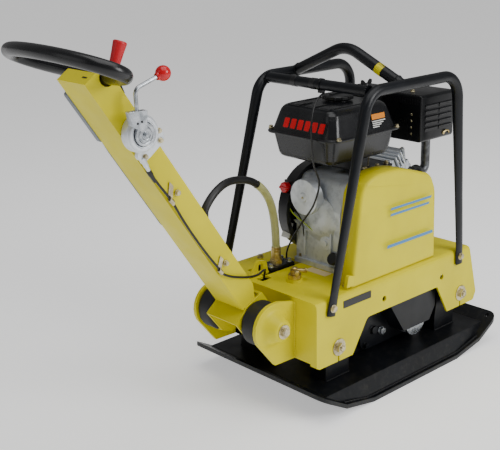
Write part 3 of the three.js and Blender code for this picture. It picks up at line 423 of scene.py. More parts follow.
def tube(line, radius, sides=16):
    """A round bar through the points of line, in metres, with a radius in millimetres."""
    shape = bmesh.new()
    heading = (line[1] - line[0]).normalized()
    bmesh.ops.create_circle(
        shape, cap_ends=False, segments=sides, radius=radius * MM, matrix=aim(line[0], heading))
    edges = shape.edges[:]
    for i in range(1, len(line)):
        step = (line[i] - line[i - 1]).normalized()
        ahead = (step + (line[min(i + 1, len(line) - 1)] - line[i]).normalized()).normalized()
        grown = bmesh.ops.extrude_edge_only(shape, edges=edges)["geom"]
        points = [g for g in grown if isinstance(g, bmesh.types.BMVert)]
        edges = [g for g in grown if isinstance(g, bmesh.types.BMEdge) and g.is_boundary]
        turn = heading.rotation_difference(ahead).to_matrix()
        bmesh.ops.rotate(shape, verts=points, cent=line[i - 1], matrix=turn)
        bmesh.ops.translate(shape, verts=points, vec=line[i] - line[i - 1])
        heading = ahead
    bmesh.ops.holes_fill(shape, edges=[e for e in shape.edges if e.is_boundary], sides=0)
    return shape


def smooth_line(knots, step):
    """Points about step millimetres apart on a smooth line through the knots, in metres."""
    knots = [2 * knots[0] - knots[1], *knots, 2 * knots[-1] - knots[-2]]
    line = []
    for a, b, c, d in zip(knots, knots[1:], knots[2:], knots[3:]):
        t1 = math.sqrt((b - a).length)
        t2 = t1 + math.sqrt((c - b).length)
        t3 = t2 + math.sqrt((d - c).length)
        count = max(1, round((c - b).length / (step * MM)))
        for k in range(count):
            t = t1 + (t2 - t1) * k / count
            p, q, r = a.lerp(b, t / t1), b.lerp(c, (t - t1) / (t2 - t1)), c.lerp(d, (t - t2) / (t3 - t2))
            p, q = p.lerp(q, t / t2), q.lerp(r, (t - t1) / (t3 - t1))
            line.append(p.lerp(q, (t - t1) / (t2 - t1)))
    return line + [knots[-2]]


def bent_line(corners, bend, steps=8):
    """Straight runs between corners in metres, with an arc of the bend radius in millimetres at each."""
    line = [corners[0]]
    for before, here, after in zip(corners, corners[1:], corners[2:]):
        back, ahead = (before - here).normalized(), (after - here).normalized()
        half = math.acos(max(-1.0, min(1.0, back.dot(ahead)))) / 2
        centre = here + (back + ahead).normalized() * (bend * MM / math.sin(half))
        start = here + back * (bend * MM / math.tan(half)) - centre
        axis = start.cross(here - centre).normalized()
        for k in range(steps + 1):
            turn = Matrix.Rotation((math.pi - 2 * half) * k / steps, 3, axis)
            line.append(centre + turn @ start)
    return line + [corners[-1]]


def route_length(line):
    """The length of a line, in metres."""
    return sum((b - a).length for a, b in zip(line, line[1:]))


def merged(shapes):
    """Several shapes as one."""
    whole = bmesh.new()
    for shape in shapes:
        mesh = bpy.data.meshes.new("part")
        shape.to_mesh(mesh)
        shape.free()
        whole.from_mesh(mesh)
        bpy.data.meshes.remove(mesh)
    return whole


def finished(
    name, shape, material, stands_for=(), body="upper_frame", soften=0.0, segments=2, smooth=38):
    """Makes the shape a piece of the machine, with its edges softened by that many millimetres."""
    bmesh.ops.remove_doubles(shape, verts=shape.verts, dist=1e-6)
    bmesh.ops.recalc_face_normals(shape, faces=shape.faces)
    mesh = bpy.data.meshes.new(name)
    shape.to_mesh(mesh)
    shape.free()
    mesh.shade_smooth()
    mesh.set_sharp_from_angle(angle=math.radians(smooth))
    mesh.materials.append(material)
    thing = bpy.data.objects.new(name, mesh)
    scene.collection.objects.link(thing)
    if soften:
        bevel = thing.modifiers.new("softened", "BEVEL")
        bevel.width = soften * MM
        bevel.segments = segments
        bevel.limit_method = "ANGLE"
        bevel.angle_limit = math.radians(32)
        bevel.harden_normals = True
    if stands_for:
        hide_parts(*stands_for)
    if body:
        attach(thing, body)
    return thing


def refined(node_name, material, soften, body="upper_frame"):
    """The model's own piece with its edges rounded."""
    shape = bmesh.new()
    shape.from_mesh(frame["nodes"][node_name].data)
    bmesh.ops.remove_doubles(shape, verts=shape.verts, dist=2e-5)
    bmesh.ops.dissolve_limit(
        shape, angle_limit=math.radians(0.6), verts=shape.verts, edges=shape.edges,
        use_dissolve_boundaries=False)
    return finished(
        node_name + "_finished", shape, material, stands_for=[node_name], body=body, soften=soften,
        segments=3)


def bolt(place, direction, washer, across, height, stud=0.0, nut=False):
    """A washer and hexagon head, or a nut with the stud's end through it."""
    shapes = [ring(0.2, washer, 0, 2.6, 0.5, 40), hexagon(across, 2.4, 2.4 + height)]
    if nut:
        shapes.append(
            lathe([(0, 0), (stud, 0), (stud, height + 5.5), (stud - 1.4, height + 7), (0, height + 7)], 24))
    else:
        shapes.append(lathe([
            (0, height), (across * 0.42, height + 2.4), (across * 0.42, height + 3.1), (0, height + 3.4),
        ], 24))
    return placed(merged(shapes), place, direction)


def weld(line, radius=3.0, pitch=3.2):
    """A bead along a line: overlapping ripples laid one after another."""
    beads = []
    length = route_length(line)
    count = max(2, round(length / (pitch * MM)))
    points = smooth_line(line, pitch) if len(line) > 2 else [
        line[0].lerp(line[1], k / count)
        for k in range(count + 1)]
    for i, point in enumerate(points):
        shape = bmesh.new()
        size = radius * (1.0 + 0.08 * math.sin(i * 2.3)) * MM
        bmesh.ops.create_icosphere(shape, subdivisions=2, radius=size, matrix=Matrix.Translation(point))
        beads.append(shape)
    return merged(beads)


# ---------------------------------------------------------------- places on the handle
ANGLE = math.radians(55.95)
HANDLE_LOW = (-460.4, 283.6)
ALONG = (-math.cos(ANGLE), math.sin(ANGLE))
DEEP = (math.sin(ANGLE), math.cos(ANGLE))
BEAM_HALF, BEAM_DEEP, BEAM_LENGTH = 52, 64, 745


def on_handle(along, deep):
    return (
        HANDLE_LOW[0] + ALONG[0] * along + DEEP[0] * deep, HANDLE_LOW[1] + ALONG[1] * along + DEEP[1] * deep)


def at(along, y, deep):
    x, z = on_handle(along, deep)
    return mm(x, y, z)


# ---------------------------------------------------------------- hose and cables
HOSE = {"x": -214, "y": 80, "z": 338, "radius": 10, "along": 226}


def make_hose():
    x, y, z = HOSE["x"], HOSE["y"], HOSE["z"]
    knots = [
        mm(x, y, z), mm(x - 1, y, z + 50), mm(x - 6, y, z + 100), mm(x - 25, 75, 492), mm(x - 55, 69, 532),
        mm(x - 106, 58, 568), mm(-388, 42, 588), mm(-440, 29, 590), mm(-488, 18, 572), mm(-519, 13, 541),
        at(HOSE["along"], 12, BEAM_DEEP + 16), at(HOSE["along"] - 14, 12, BEAM_DEEP - 3)]
    line = smooth_line(knots, 12)
    hose = finished(
        "hydraulic_hose_run", tube(line, HOSE["radius"], 24), HOSE_RUBBER, stands_for=["hydraulic_hose"],
        body=None)
    cover = [p for p in line if (p - line[0]).length < 0.238]
    sleeve = finished("hose_sleeve", tube(cover[1:], HOSE["radius"] + 1.0, 24), SLEEVE, body=None)
    for piece in (hose, sleeve):
        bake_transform(piece)


def make_throttle_cable():
    side = -BEAM_HALF - 7
    knots = [
        at(493, side, 3), at(450, side, 5), at(394, side, 8), at(330, side, 4), at(262, side, 3),
        at(200, side, 5), at(147, side, 9), at(135, side, 9.5), mm(-505, side - 1, 388),
        mm(-476, side - 1, 378), mm(-440, side + 2, 368), mm(-396, side + 18, 358), mm(-352, side + 46, 350),
        mm(-322, 11, 337), mm(-309, 28, 316), mm(-305, 34, 297), mm(-300, 34, 280)]
    line = smooth_line(knots, 7)
    cable = finished(
        "throttle_cable_run", tube(line, 3, 12), CABLE, stands_for=["throttle_cable"], body=None)
    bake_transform(cable)


def make_engine_cable():
    knots = [
        mm(-158, 96, 286), mm(-160, 92, 330), mm(-168, 60, 380), mm(-176, 20, 430), mm(-190, -40, 500),
        mm(-192, -60, 560), mm(-214, -62, 612), mm(-222, -62, 680), mm(-214, -56, 740), mm(-180, -44, 776),
        mm(-148, -36, 786)]
    line = smooth_line(knots, 7)
    cable = finished(
        "engine_cable_run", tube(line, 2.5, 12), CABLE, stands_for=["engine_cable"])


make_hose()
make_throttle_cable()
make_engine_cable()


# ---------------------------------------------------------------- sole plate and exciter
MOUNT_X, MOUNT_Z, DECK_HALF, DECK_TOP = 262, 165, 195, 303.5
CORNERS = [
    (end_name, end, side_name, side)
    for end_name, end in (("rear", -1), ("front", 1))
    for side_name, side in (("right", RIGHT), ("left", LEFT))]


def make_sole():
    refined("base_plate", SOLE_BLACK, 1.8, body="lower_mass")
    refined("base_deck", SOLE_BLACK, 2.2, body="lower_mass")
    seams = []
    for side in (RIGHT, LEFT):
        seams.append(weld([mm(-196, side * 240, 14.5), mm(196, side * 240, 14.5)], 3.2, 5.0))
        for end in (-1, 1):
            seams.append(weld([mm(end * 196, side * 240, 14.5), mm(end * 288, side * 240, 34)], 3.2, 5.0))
            seams.append(weld([mm(end * 188, side * 164, 61), mm(end * 274, side * 164, 61)], 3.0, 4.6))
    finished("plate_seams", merged(seams), SOLE_BLACK, body="lower_mass")


def make_exciter():
    refined("exciter_housing", BLACK, 2.5, body="lower_mass")
    refined("exciter_cover_right", BLACK, 2.0, body="lower_mass")
    refined("exciter_cover_left", BLACK, 2.0, body="lower_mass")
    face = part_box("exciter_cover_left")[1][1] / MM
    bolts = []
    for side in (RIGHT, LEFT):
        for x, z in ((-68, 82), (-68, 156), (-18, 168), (78, 168), (128, 156), (128, 82)):
            bolts.append(bolt(mm(x, side * face, z), (0, side, 0), 9.5, 15, 7))
    finished("exciter_cover_bolts", merged(bolts), BLACK, body="lower_mass", soften=0.3)
    plug = placed(merged([ring(0.2, 12, 0, 3), hexagon(19, 2, 11)]), mm(-2, -face, 107), (0, -1, 0))
    finished("exciter_level_plug", plug, STEEL, body="lower_mass", soften=0.4)


def make_mounts():
    """Four bonded rubber discs between steel plates, each with its washer, nut and stud outside the deck."""
    for end_name, end, side_name, side in CORNERS:
        name = f"{end_name}_{side_name}"
        low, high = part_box(f"isolator_{name}")
        half = (high[1] - low[1]) / 2 / MM
        placing = aim(mm(end * MOUNT_X, (low[1] + high[1]) / 2 / MM, MOUNT_Z), (0, side, 0))
        rubber = lathe([
            (0, 3 - half), (26, 3 - half), (27.4, 4.4 - half), (28.6, -5), (29.2, 0), (28.6, 5),
            (27.4, half - 4.4), (26, half - 3), (0, half - 3),
        ], 40)
        rubber = finished(
            f"isolator_rubber_{name}", placed(rubber, placing), RUBBER, stands_for=[f"isolator_{name}"],
            body=None)
        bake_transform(rubber)
        finished(
            f"isolator_inner_plate_{name}", placed(disc(28, -half, 3.2 - half, 0.5, 40), placing), ZINC,
            body="lower_mass")
        finished(f"isolator_outer_plate_{name}", placed(disc(28, half - 3.2, half, 0.5, 40), placing), ZINC)
        finished(
            f"mount_nut_{name}",
            bolt(
                mm(end * MOUNT_X, side * (DECK_HALF + 0.2), MOUNT_Z), (0, side, 0), 23, 24, 10, stud=7.5,
                nut=True),
            ZINC, stands_for=[f"mount_bolt_{name}"], soften=0.35)


make_sole()
make_exciter()
make_mounts()


# ---------------------------------------------------------------- deck
PIVOT_X, PIVOT_Z, EAR_FACE, BOSS_FACE = -418, 243, 118, 153


def make_deck():
    refined("deck_frame", YELLOW, 1.8)
    for side_name, side in (("right", RIGHT), ("left", LEFT)):
        pressed = lathe([
            (56, 0.2), (50, 0.9), (45.5, 2.8), (41.5, 6.2), (38, 11), (34.5, 18), (31, 25), (28, 30),
            (25.6, 33.2), (22.8, 35), (20, 35.4), (11, 35.4), (11, 31), (19, 31), (24, 27), (34, 6),
            (40, 0.2), (56, 0.2),
        ], 48)
        finished(
            f"pressed_boss_{side_name}",
            placed(pressed, mm(PIVOT_X, side * EAR_FACE, PIVOT_Z), (0, side, 0)), YELLOW, smooth=60)
        finished(
            f"pivot_head_{side_name}",
            bolt(mm(PIVOT_X, side * (BOSS_FACE + 0.6), PIVOT_Z), (0, side, 0), 18.5, 21, 8), ZINC,
            stands_for=[f"pivot_bolt_{side_name}"], soften=0.4)
    seams = [
        weld([mm(-333, 60, 305), mm(-264, 60, 305)], 2.6, 4.2),
        weld([mm(-333, 68, 305), mm(-264, 68, 305)], 2.6, 4.2),
        weld([mm(-345, -119, 150), mm(-345, -119, 288)], 2.8, 4.4),
        weld([mm(-345, 119, 150), mm(-345, 119, 288)], 2.8, 4.4)]
    finished("deck_seams", merged(seams), YELLOW)
    # A round bump pressed up in the deck between the drain tap and the engine.
    bump = lathe([(0, 5.2), (9, 5.0), (15, 4.2), (20, 2.6), (25, 0.8), (29, 0.1), (29, -1.5), (0, -1.5)], 40)
    finished("deck_bump", placed(bump, mm(-236, -14, DECK_TOP), (0, 0, 1)), YELLOW, smooth=70)
    bolts = [
        bolt(mm(x, y, DECK_TOP), (0, 0, 1), 9, 14, 6.5)
        for x, y in ((-198, -160), (-198, 160), (262, -60), (262, 60))]
    finished("deck_bolts", merged(bolts), ZINC, soften=0.3)
    finished(
        "deck_strip_label",
        side_plate([(-246, 266), (-139, 266), (-139, 286), (-246, 286)], -195.9, -195.1, [1.5] * 4),
        LABEL_BLACK)
    finished(
        "deck_top_label",
        flat_plate([(-182, -72), (-154, -72), (-154, 2), (-182, 2)], DECK_TOP, DECK_TOP + 0.5, [2] * 4),
        LABEL_PEACH)


def make_belt_cover():
    """A pressed shell with a raised, chamfered panel, open towards the engine."""
    shell = side_plate([
        (-200, 303.9), (146, 303.9), (141, 420), (136, 508), (118, 548), (-22, 590), (-124, 588),
        (-168, 556),
    ], -124, -185, [0, 0, 0, 16, 20, 40, 34, 24], 8)
    outer = min(v.co.y for v in shell.verts)
    rim = [e for e in shell.edges if all(v.co.y < outer + 1e-6 for v in e.verts)]
    bmesh.ops.bevel(shell, geom=rim, offset=9 * MM, affect="EDGES", segments=6, profile=0.5, material=-1)
    inner = max(v.co.y for v in shell.verts)
    back = [f for f in shell.faces if all(v.co.y > inner - 1e-6 for v in f.verts)]
    bmesh.ops.delete(shell, geom=back, context="FACES")
    cover = finished("belt_cover_shell", shell, YELLOW, stands_for=["belt_cover"], smooth=50)
    wall = cover.modifiers.new("sheet", "SOLIDIFY")
    wall.thickness = 2.5 * MM
    wall.offset = -1
    panel = side_plate([
        (-124, 322), (140, 322), (134, 500), (120, 532), (-30, 548), (-70, 520),
    ], -184.8, -183, [12, 12, 14, 16, 22, 22], 5)
    face = min(panel.faces, key=lambda f: f.calc_center_median().y)
    bmesh.ops.inset_individual(panel, faces=[face], thickness=11 * MM, depth=9.8 * MM, use_even_offset=True)
    finished("belt_cover_panel", panel, YELLOW, soften=2.5, segments=3)
    tab = side_plate([(-220, 310), (-177, 310), (-177, 332), (-214, 343)], -184, -172, [2, 2, 4, 8])
    finished("belt_cover_tab", tab, YELLOW, soften=1.5)
    marks = [
        side_plate([(-66, 486), (104, 486), (108, 492), (-62, 492)], -195.1, -194.4),
        side_plate([(-66, 470), (96, 470), (98, 476), (-63, 476)], -195.1, -194.4),
        side_plate([(-76, 384), (118, 384), (116, 392), (-74, 392)], -195.1, -194.4)]
    finished("belt_cover_stripes", merged(marks), LABEL_BLUE)


def make_guard():
    refined("pulley_guard", BLACK, 1.2)


make_deck()
make_belt_cover()
make_guard()


# ---------------------------------------------------------------- cage and lifting bail
def make_cage():
    for side_name, side in (("right", RIGHT), ("left", LEFT)):
        foot, top = side * 200.6, side * 191
        line = bent_line([
            mm(-298, foot, 262), mm(-285, foot, 322), mm(-158, top, 806), mm(206, top, 806),
            mm(238, foot, 322), mm(240.5, foot, 262),
        ], 62, 12)
        hoop = tube(line, 15, 24)
        for vert in hoop.verts:
            flat = max(0.0, min(1.0, (0.372 - vert.co.z) / 0.036))
            flat = flat * flat * (3 - 2 * flat)
            centre = foot * MM - side * 0.3 * MM
            vert.co.y = centre + (vert.co.y - centre) * (1 - 0.67 * flat) if vert.co.z < 0.40 else vert.co.y
        finished(f"hoop_{side_name}", hoop, BLACK, stands_for=[f"cage_hoop_{side_name}"], soften=0.8)
        bolts = [
            bolt(mm(x, side * 204.9, z), (0, side, 0), 10.5, 15, 5)
            for x, z in ((-294.5, 283), (239.5, 286))]
        finished(f"hoop_bolts_{side_name}", merged(bolts), ZINC, soften=0.35)


def make_bars():
    reach = 176
    finished(
        "crossbar", tube([mm(-140, -reach, 804), mm(-140, reach, 804)], 14, 24), BLACK,
        stands_for=["cage_crossbar"])
    finished(
        "bail", tube(bent_line([mm(-25, -186, 808), mm(-25, 0, 892), mm(-25, 186, 808)], 95, 16), 15, 24),
        BLACK, stands_for=["lifting_bail"])
    seams = []
    for side in (RIGHT, LEFT):
        for x, z, radius in ((-140, 804, 15), (-25, 812, 16)):
            ends = [
                mm(x + radius * math.cos(a), side * 176.5, z + radius * math.sin(a))
                for a in [i * math.pi / 8 for i in range(17)]]
            seams.append(weld(ends, 2.4, 4.0))
    finished("bar_seams", merged(seams), BLACK)
    # Tape wraps and a band clamp on the crossbar, and a painted band on the bail.
    wraps = [placed(ring(13.6, 14.9, -9, 9, 0.4, 32), mm(-140, y, 804), (0, 1, 0)) for y in (6, 74)]
    finished("crossbar_wraps", merged(wraps), CABLE)
    clamp = merged([
        placed(ring(14.2, 16.4, -5, 5, 0.5, 32), mm(-140, -18, 804), (0, 1, 0)),
        block((-147, -24, 783), (-133, -12, 790)),
        placed(hexagon(8, 0, 4), mm(-133, -18, 786.5), (1, 0, 0))])
    finished("crossbar_clamp", clamp, HEATPROOF, soften=0.4)
    run = (mm(-25, -176, 812) - mm(-25, 0, 892)).normalized()
    finished(
        "bail_bands", placed(ring(14.8, 15.4, -11, 11, 0.2, 32), mm(-25, -118, 838.2), run), YELLOW)


make_cage()
make_bars()


# ---------------------------------------------------------------- engine
STARTER_X, STARTER_Z, SWITCH_Z = -48, 444, 515


def make_crankcase():
    refined("crankcase", CAST, 2.2)
    refined("crankcase_cover", DIE_CAST, 2.5)
    refined("round_cover", DIE_CAST, 2.0)
    bolts = []
    for x, z in (
        (-128, 330), (-42, 326), (46, 330), (50, 430), (40, 500), (0, 545), (-60, 542), (-110, 520),
        (-132, 440)):
        bolts.append(bolt(mm(x, -106.2, z), (0, -1, 0), 7.5, 11, 5.5))
    for x in (-134, 46):
        for y in (-88, 60):
            bolts.append(bolt(mm(x, y, 318.4), (0, 0, 1), 9.5, 14, 6.5))
    finished("engine_bolts", merged(bolts), ZINC, soften=0.3)
    # Curved stiffening ribs round the governor's boss on the rear wall, and the round bulge below them.
    ribs = []
    for radius, start, stop in ((66, 200, 330), (82, 205, 320), (98, 215, 305)):
        arc = [
            mm(-142.5, 22 + radius * math.cos(math.radians(a)), 500 + radius * math.sin(math.radians(a)))
            for a in range(start, stop + 1, 10)]
        ribs.append(tube(arc, 3.2, 10))
    ribs.append(side_plate([(-141, 330), (-149, 330), (-146, 400), (-141, 420)], -60, -54))
    ribs.append(side_plate([(-141, 330), (-149, 330), (-146, 400), (-141, 420)], 34, 40))
    ribs.append(placed(
        lathe([(0, 13), (20, 12.6), (38, 10.5), (52, 6), (62, 0), (62, -6), (0, -6)], 48),
        mm(-139, -12, 440), (-1, 0, 0)))
    ribs.append(placed(disc(20, 0, 8, 1.5), mm(-139, -40, 380), (-1, 0, 0)))
    ribs.append(placed(hexagon(15, 7, 12), mm(-139, -40, 380), (-1, 0, 0)))
    finished("crankcase_ribs", merged(ribs), CAST, soften=1.0)
    filler = merged([
        placed(
            lathe([(0, 0), (13, 0), (13, 16), (17, 17), (17, 27), (15, 29), (0, 29)], 24),
            mm(-128, -70, 334), (-0.9, 0, 0.42)),])
    finished("oil_filler", filler, HOUSING, soften=0.6)
    finished("governor_screw", placed(disc(3.2, 0, 2.4, 0.6, 20), mm(-169.4, 22, 500), (-1, 0, 0)), ZINC)


def make_head():
    refined("cylinder_head", DIE_CAST, 1.6)
    slant_u, slant_v = Vector((0.866, 0, 0.5)), Vector((-0.5, 0, 0.866))

    def on_head(u, y, v):
        return mm(148, y, 491) + (slant_u * u + slant_v * v) * MM

    bolts = [bolt(on_head(56, y, v), slant_u, 8, 12, 6) for y in (-46, 42) for v in (16, 74)]
    bolts.append(bolt(on_head(56, -2, 45), slant_u, 9, 14, 7))
    finished("head_bolts", merged(bolts), ZINC, soften=0.3)
    # The machined web across the head's near end, with its four arms.
    arms = []
    for v0, v1 in ((2, 88), (88, 2)):
        arms.append(
            tube([on_head(4, -66, v0), on_head(30, -66, (v0 + v1) / 2), on_head(52, -58, v1)], 5.5, 10))
    arms.append(plate([
        on_head(8, -66, 34), on_head(44, -66, 34), on_head(44, -66, 58), on_head(8, -66, 58),
    ], (0, -1, 0), 7))
    finished("head_web", merged(arms), STEEL, soften=1.2)
    plug = placed(
        merged([
            ring(0.2, 11, 0, 10), hexagon(19, 9, 16),
            lathe([(0, 15), (7, 15), (7, 30), (9.5, 32), (9.5, 46), (7, 50), (0, 50)], 24)]),
        on_head(40, -60, 22), Vector((0.5, -0.6, -0.5)))
    finished("spark_plug_boot", plug, HOUSING, soften=0.6)


def tank_shape():
    """The tank: storeys of a rounded rectangle drawn in from the seam, each height with its inset."""
    centre = mm(-72, 0, 0)
    shape = bmesh.new()
    points = [shape.verts.new(mm(x, y, 606)) for x, y in ((-208, -121), (64, -121), (64, 121), (-208, 121))]
    shape.faces.new(points)
    bmesh.ops.bevel(
        shape, geom=points, offset=30 * MM, affect="VERTICES", segments=10, profile=0.5, material=-1)
    storeys = [
        (606, 32), (608, 26), (612, 21), (620, 17.5), (650, 12), (672.5, 8), (673, -3.6), (675, -4.4),
        (677, -4.4), (679, -3.6), (679.6, 6), (700, 12), (724, 19), (735, 23), (741, 27), (745, 31.5),
        (747.4, 37), (748, 42)]
    faces = shape.faces[:]
    last = 606
    inset_before = 0
    for height, inset in storeys:
        grown = bmesh.ops.extrude_face_region(shape, geom=faces)["geom"] if height > 606 else []
        moved = [g for g in grown if isinstance(g, bmesh.types.BMVert)] or shape.verts[:]
        if grown:
            faces = [g for g in grown if isinstance(g, bmesh.types.BMFace)]
        factors = [(half - inset) / (half - inset_before) for half in (136, 121)]
        bmesh.ops.scale(
            shape, verts=moved, vec=(factors[0], factors[1], 1), space=Matrix.Translation(-centre))
        bmesh.ops.translate(shape, verts=moved, vec=(0, 0, (height - last) * MM))
        last, inset_before = height, inset
    return shape


def make_tank():
    finished("tank", tank_shape(), TANK_BLACK, stands_for=["fuel_tank"], smooth=32)
    trims = [lathe([(0, 744), (33, 744), (33, 750), (30, 752), (0, 752)], 36),]
    trims[0].transform(Matrix.Translation(mm(-48, 8, 0)))
    for y in (-58, -6, 46):
        trims.append(block((-172, y - 16, 746), (-120, y + 16, 750.5)))
    trims.append(block((-160, -76, 745), (16, -69, 750)))
    trims.append(block((-160, 69, 745), (16, 76, 750)))
    finished("tank_top_ridges", merged(trims), TANK_BLACK, soften=2.2, segments=3)
    bolts = [bolt(mm(x, y, 679), (0, 0, 1), 7, 10, 4.5) for x in (-186, 42) for y in (-122, 122)]
    finished("tank_bolts", merged(bolts), ZINC, soften=0.3)
    # Rear plaque with a row of plain slanted bars, and a plain label on the right side.
    lean = math.atan2(12.0, 44)
    facing = Matrix.Translation(mm(-194.6, 0, 704)) @ Matrix.Rotation(lean, 4, "Y")
    plaque = end_plate([(-88, -17), (68, -17), (68, 17), (-88, 17)], -1.6, 0.2, [4] * 4)
    finished("tank_plaque", placed(plaque, facing), LABEL_BLACK, soften=0.5)
    bars = []
    for i in range(6):
        y = -80 + i * 25
        bars.append(end_plate([(y, -13), (y + 18, -13), (y + 15, 13), (y - 3, 13)], -2.6, -1.4, [3] * 4))
    finished("tank_plaque_bars", placed(merged(bars), facing), RED, soften=0.4)
    side_facing = Matrix.Translation(mm(0, -112.6, 704)) @ Matrix.Rotation(math.radians(-13), 4, "X")
    label = merged([side_plate([(-48, 6), (4, 6), (4, 20), (-48, 20)], -0.9, 0.4, [1] * 4)])
    finished("tank_label_top", placed(label, side_facing), LABEL_ORANGE)
    lines = [
        side_plate([(-48, z), (4 - k * 9, z), (4 - k * 9, z + 2.6), (-48, z + 2.6)], -0.9, 0.4)
        for k, z in enumerate((0, -5, -10, -15))]
    finished("tank_label_lines", placed(merged(lines), side_facing), LABEL_WHITE)


def make_cap():
    """A knurled screw cap with a raised grip across its top."""
    cap = lathe([
        (0, -5), (24, -5), (24, 0.5), (39, 0.5), (40.5, 2), (40.5, 9), (38, 12), (30, 13.5), (0, 14.5),
    ], 48)
    lobes = [
        placed(
            disc(4.2, 0.8, 10.5, 1.2, 12), Matrix.Translation(mm(38.6 * math.cos(a), 38.6 * math.sin(a), 0)))
        for a in [i * math.pi / 6 for i in range(12)]]
    grip = block((-29, -5, 12), (29, 5, 17.5))
    shape = placed(merged([cap, grip, *lobes]), Matrix.Translation(mm(-48, 8, 752)))
    finished("cap", shape, HOUSING, stands_for=["fuel_cap"], body="filler_cap", soften=1.2)


def make_muffler():
    """The silencer in its perforated guard: slots along the top, louvres on the right side, their openings
    drawn as black patches of painted shade.
    """
    body = block((142, -125, 618), (290, 6, 748))
    bmesh.ops.bevel(
        body, geom=[e for e in body.edges if abs(e.verts[0].co.x - e.verts[1].co.x) > 0.05], offset=9 * MM,
        affect="EDGES", segments=5, profile=0.5, material=-1)
    bmesh.ops.bevel(
        body, geom=[e for e in body.edges if e.calc_face_angle(0) > 1.2], offset=4 * MM, affect="EDGES",
        segments=3, profile=0.5, material=-1)
    finished("muffler_guard", body, HEATPROOF, stands_for=["muffler"], smooth=40)
    slots, hoods = [], []
    for i in range(13):
        y = -114 + i * 8.6
        slots.append(block((140.9, y, 722), (143, y + 4.2, 736)))
        slots.append(block((143, y, 746), (157, y + 4.2, 748.6)))
    for row in range(5):
        z = 646 + row * 16
        for x0, x1 in ((160, 214), (222, 276)):
            slots.append(block((x0, -126, z), (x1, -124, z + 6)))
            hoods.append(tube([mm(x0 - 1, -125.2, z + 8.5), mm(x1 + 1, -125.2, z + 8.5)], 3.0, 10))
    slots.append(placed(disc(13, -0.6, 0.5, 0.3), mm(180, -64, 748), (0, 0, 1)))
    # The slot and louvre openings are black patches of painted shade. The black disc under the top fixing is
    # in the same piece.
    finished("muffler_slots_painted_shade", merged(slots), CABLE)
    finished("muffler_hoods", merged(hoods), HEATPROOF, soften=0.6)
    fixings = [bolt(mm(180, -64, 748.2), (0, 0, 1), 7, 10, 3.5)]
    fixings += [
        placed(disc(3.2, 0, 1.8, 0.7, 16), mm(142, -92, z), (-1, 0, 0))
        for z in (640, 658, 676, 694)]
    finished("muffler_fixings", merged(fixings), ZINC)
    clip = [
        tube([mm(268, -127, 630), mm(262, -129, 637), mm(252, -129, 638), mm(244, -127, 634)], 2.2, 10),
        placed(disc(4.5, 0, 3, 0.8, 16), mm(244, -125, 632), (0, -1, 0))]
    finished("muffler_clip", merged(clip), BRASS)
    pipe = tube(bent_line([mm(206, -62, 512), mm(250, -62, 512), mm(250, -62, 617.6)], 20, 10), 13, 28)
    flanges = [
        placed(ring(0.2, 22, 0, 5, 0.8), mm(250, -62, 612.6), (0, 0, 1)),
        placed(ring(0.2, 23, 0, 6, 0.8), mm(208, -62, 512), (1, 0, 0))]
    finished("exhaust_run", merged([pipe, *flanges]), PIPE, stands_for=["exhaust_pipe"])


def make_cleaner():
    """The air cleaner's box: a lid over a base with a seam between, held by a wing nut."""
    base = block((72, 12, 640), (194, 120, 700))
    lid = block((70, 10, 698), (196, 122, 755.5))
    for shape in (base, lid):
        bmesh.ops.bevel(
            shape, geom=[e for e in shape.edges if abs(e.verts[0].co.z - e.verts[1].co.z) > 0.04],
            offset=16 * MM, affect="EDGES", segments=5, profile=0.5, material=-1)
    top = max(v.co.z for v in lid.verts)
    rim = [e for e in lid.edges if all(v.co.z > top - 1e-6 for v in e.verts)]
    bmesh.ops.bevel(lid, geom=rim, offset=14 * MM, affect="EDGES", segments=5, profile=0.5, material=-1)
    ribs = [block((84 + i * 20, 8.6, 704), (90 + i * 20, 12, 736)) for i in range(6)]
    finished(
        "cleaner_box", merged([base, lid, *ribs]), HOUSING, stands_for=["air_cleaner"], soften=1.0,
        smooth=40)
    centre = mm(115, 48, 756)
    wing = lathe([(0, 0.2), (9.5, 0.2), (9.5, 5), (8, 9), (6.5, 12), (0, 12.6)], 24)
    blades = []
    for way in (-1, 1):
        blade = side_plate([
            (way * 5, 6), (way * 19, 10), (way * 22, 17), (way * 19, 24), (way * 13, 22), (way * 5, 12),
        ], -2.8, 2.8, [0, 4, 4, 4, 4, 0])
        blades.append(blade)
    shape = placed(merged([wing, *blades]), Matrix.Translation(centre))
    finished("wing_nut", shape, HOUSING, stands_for=["air_cleaner_knob"], body="cleaner_wing", soften=1.0)


def make_carburettor():
    refined("carburettor", DIE_CAST, 1.5)
    bits = [
        placed(disc(15, 0, 9, 1.5), mm(100, 25.5, 614), (0, -1, 0)),
        placed(hexagon(12, 8, 15), mm(100, 25.5, 614), (0, -1, 0)),
        placed(disc(6, 0, 14, 1), mm(76, 40, 618), (-1, 0, 0.2)), block((60, 18, 596), (76, 24, 640)),
        tube([mm(68, 20, 636), mm(30, 14, 640), mm(-20, 10, 602), mm(-60, 0, 575)], 2.2, 8),
        tube([mm(66, 16, 600), mm(40, -30, 590), mm(0, -60, 572), mm(-50, -70, 560)], 2.0, 8)]
    finished("carburettor_linkage", merged(bits), ZINC, soften=0.5)
    plate_shape = flat_plate([
        (-60, -96), (66, -96), (78, -20), (70, 20), (-60, 20),
    ], 566, 570, [10, 10, 6, 6, 6])
    finished("control_plate", plate_shape, HEATPROOF, soften=0.8)
    knobs = [bolt(mm(x, y, 570), (0, 0, 1), 7.5, 11, 6) for x, y in ((-40, -84), (10, -84), (52, -80))]
    finished("control_plate_bolts", merged(knobs), ZINC, soften=0.3)


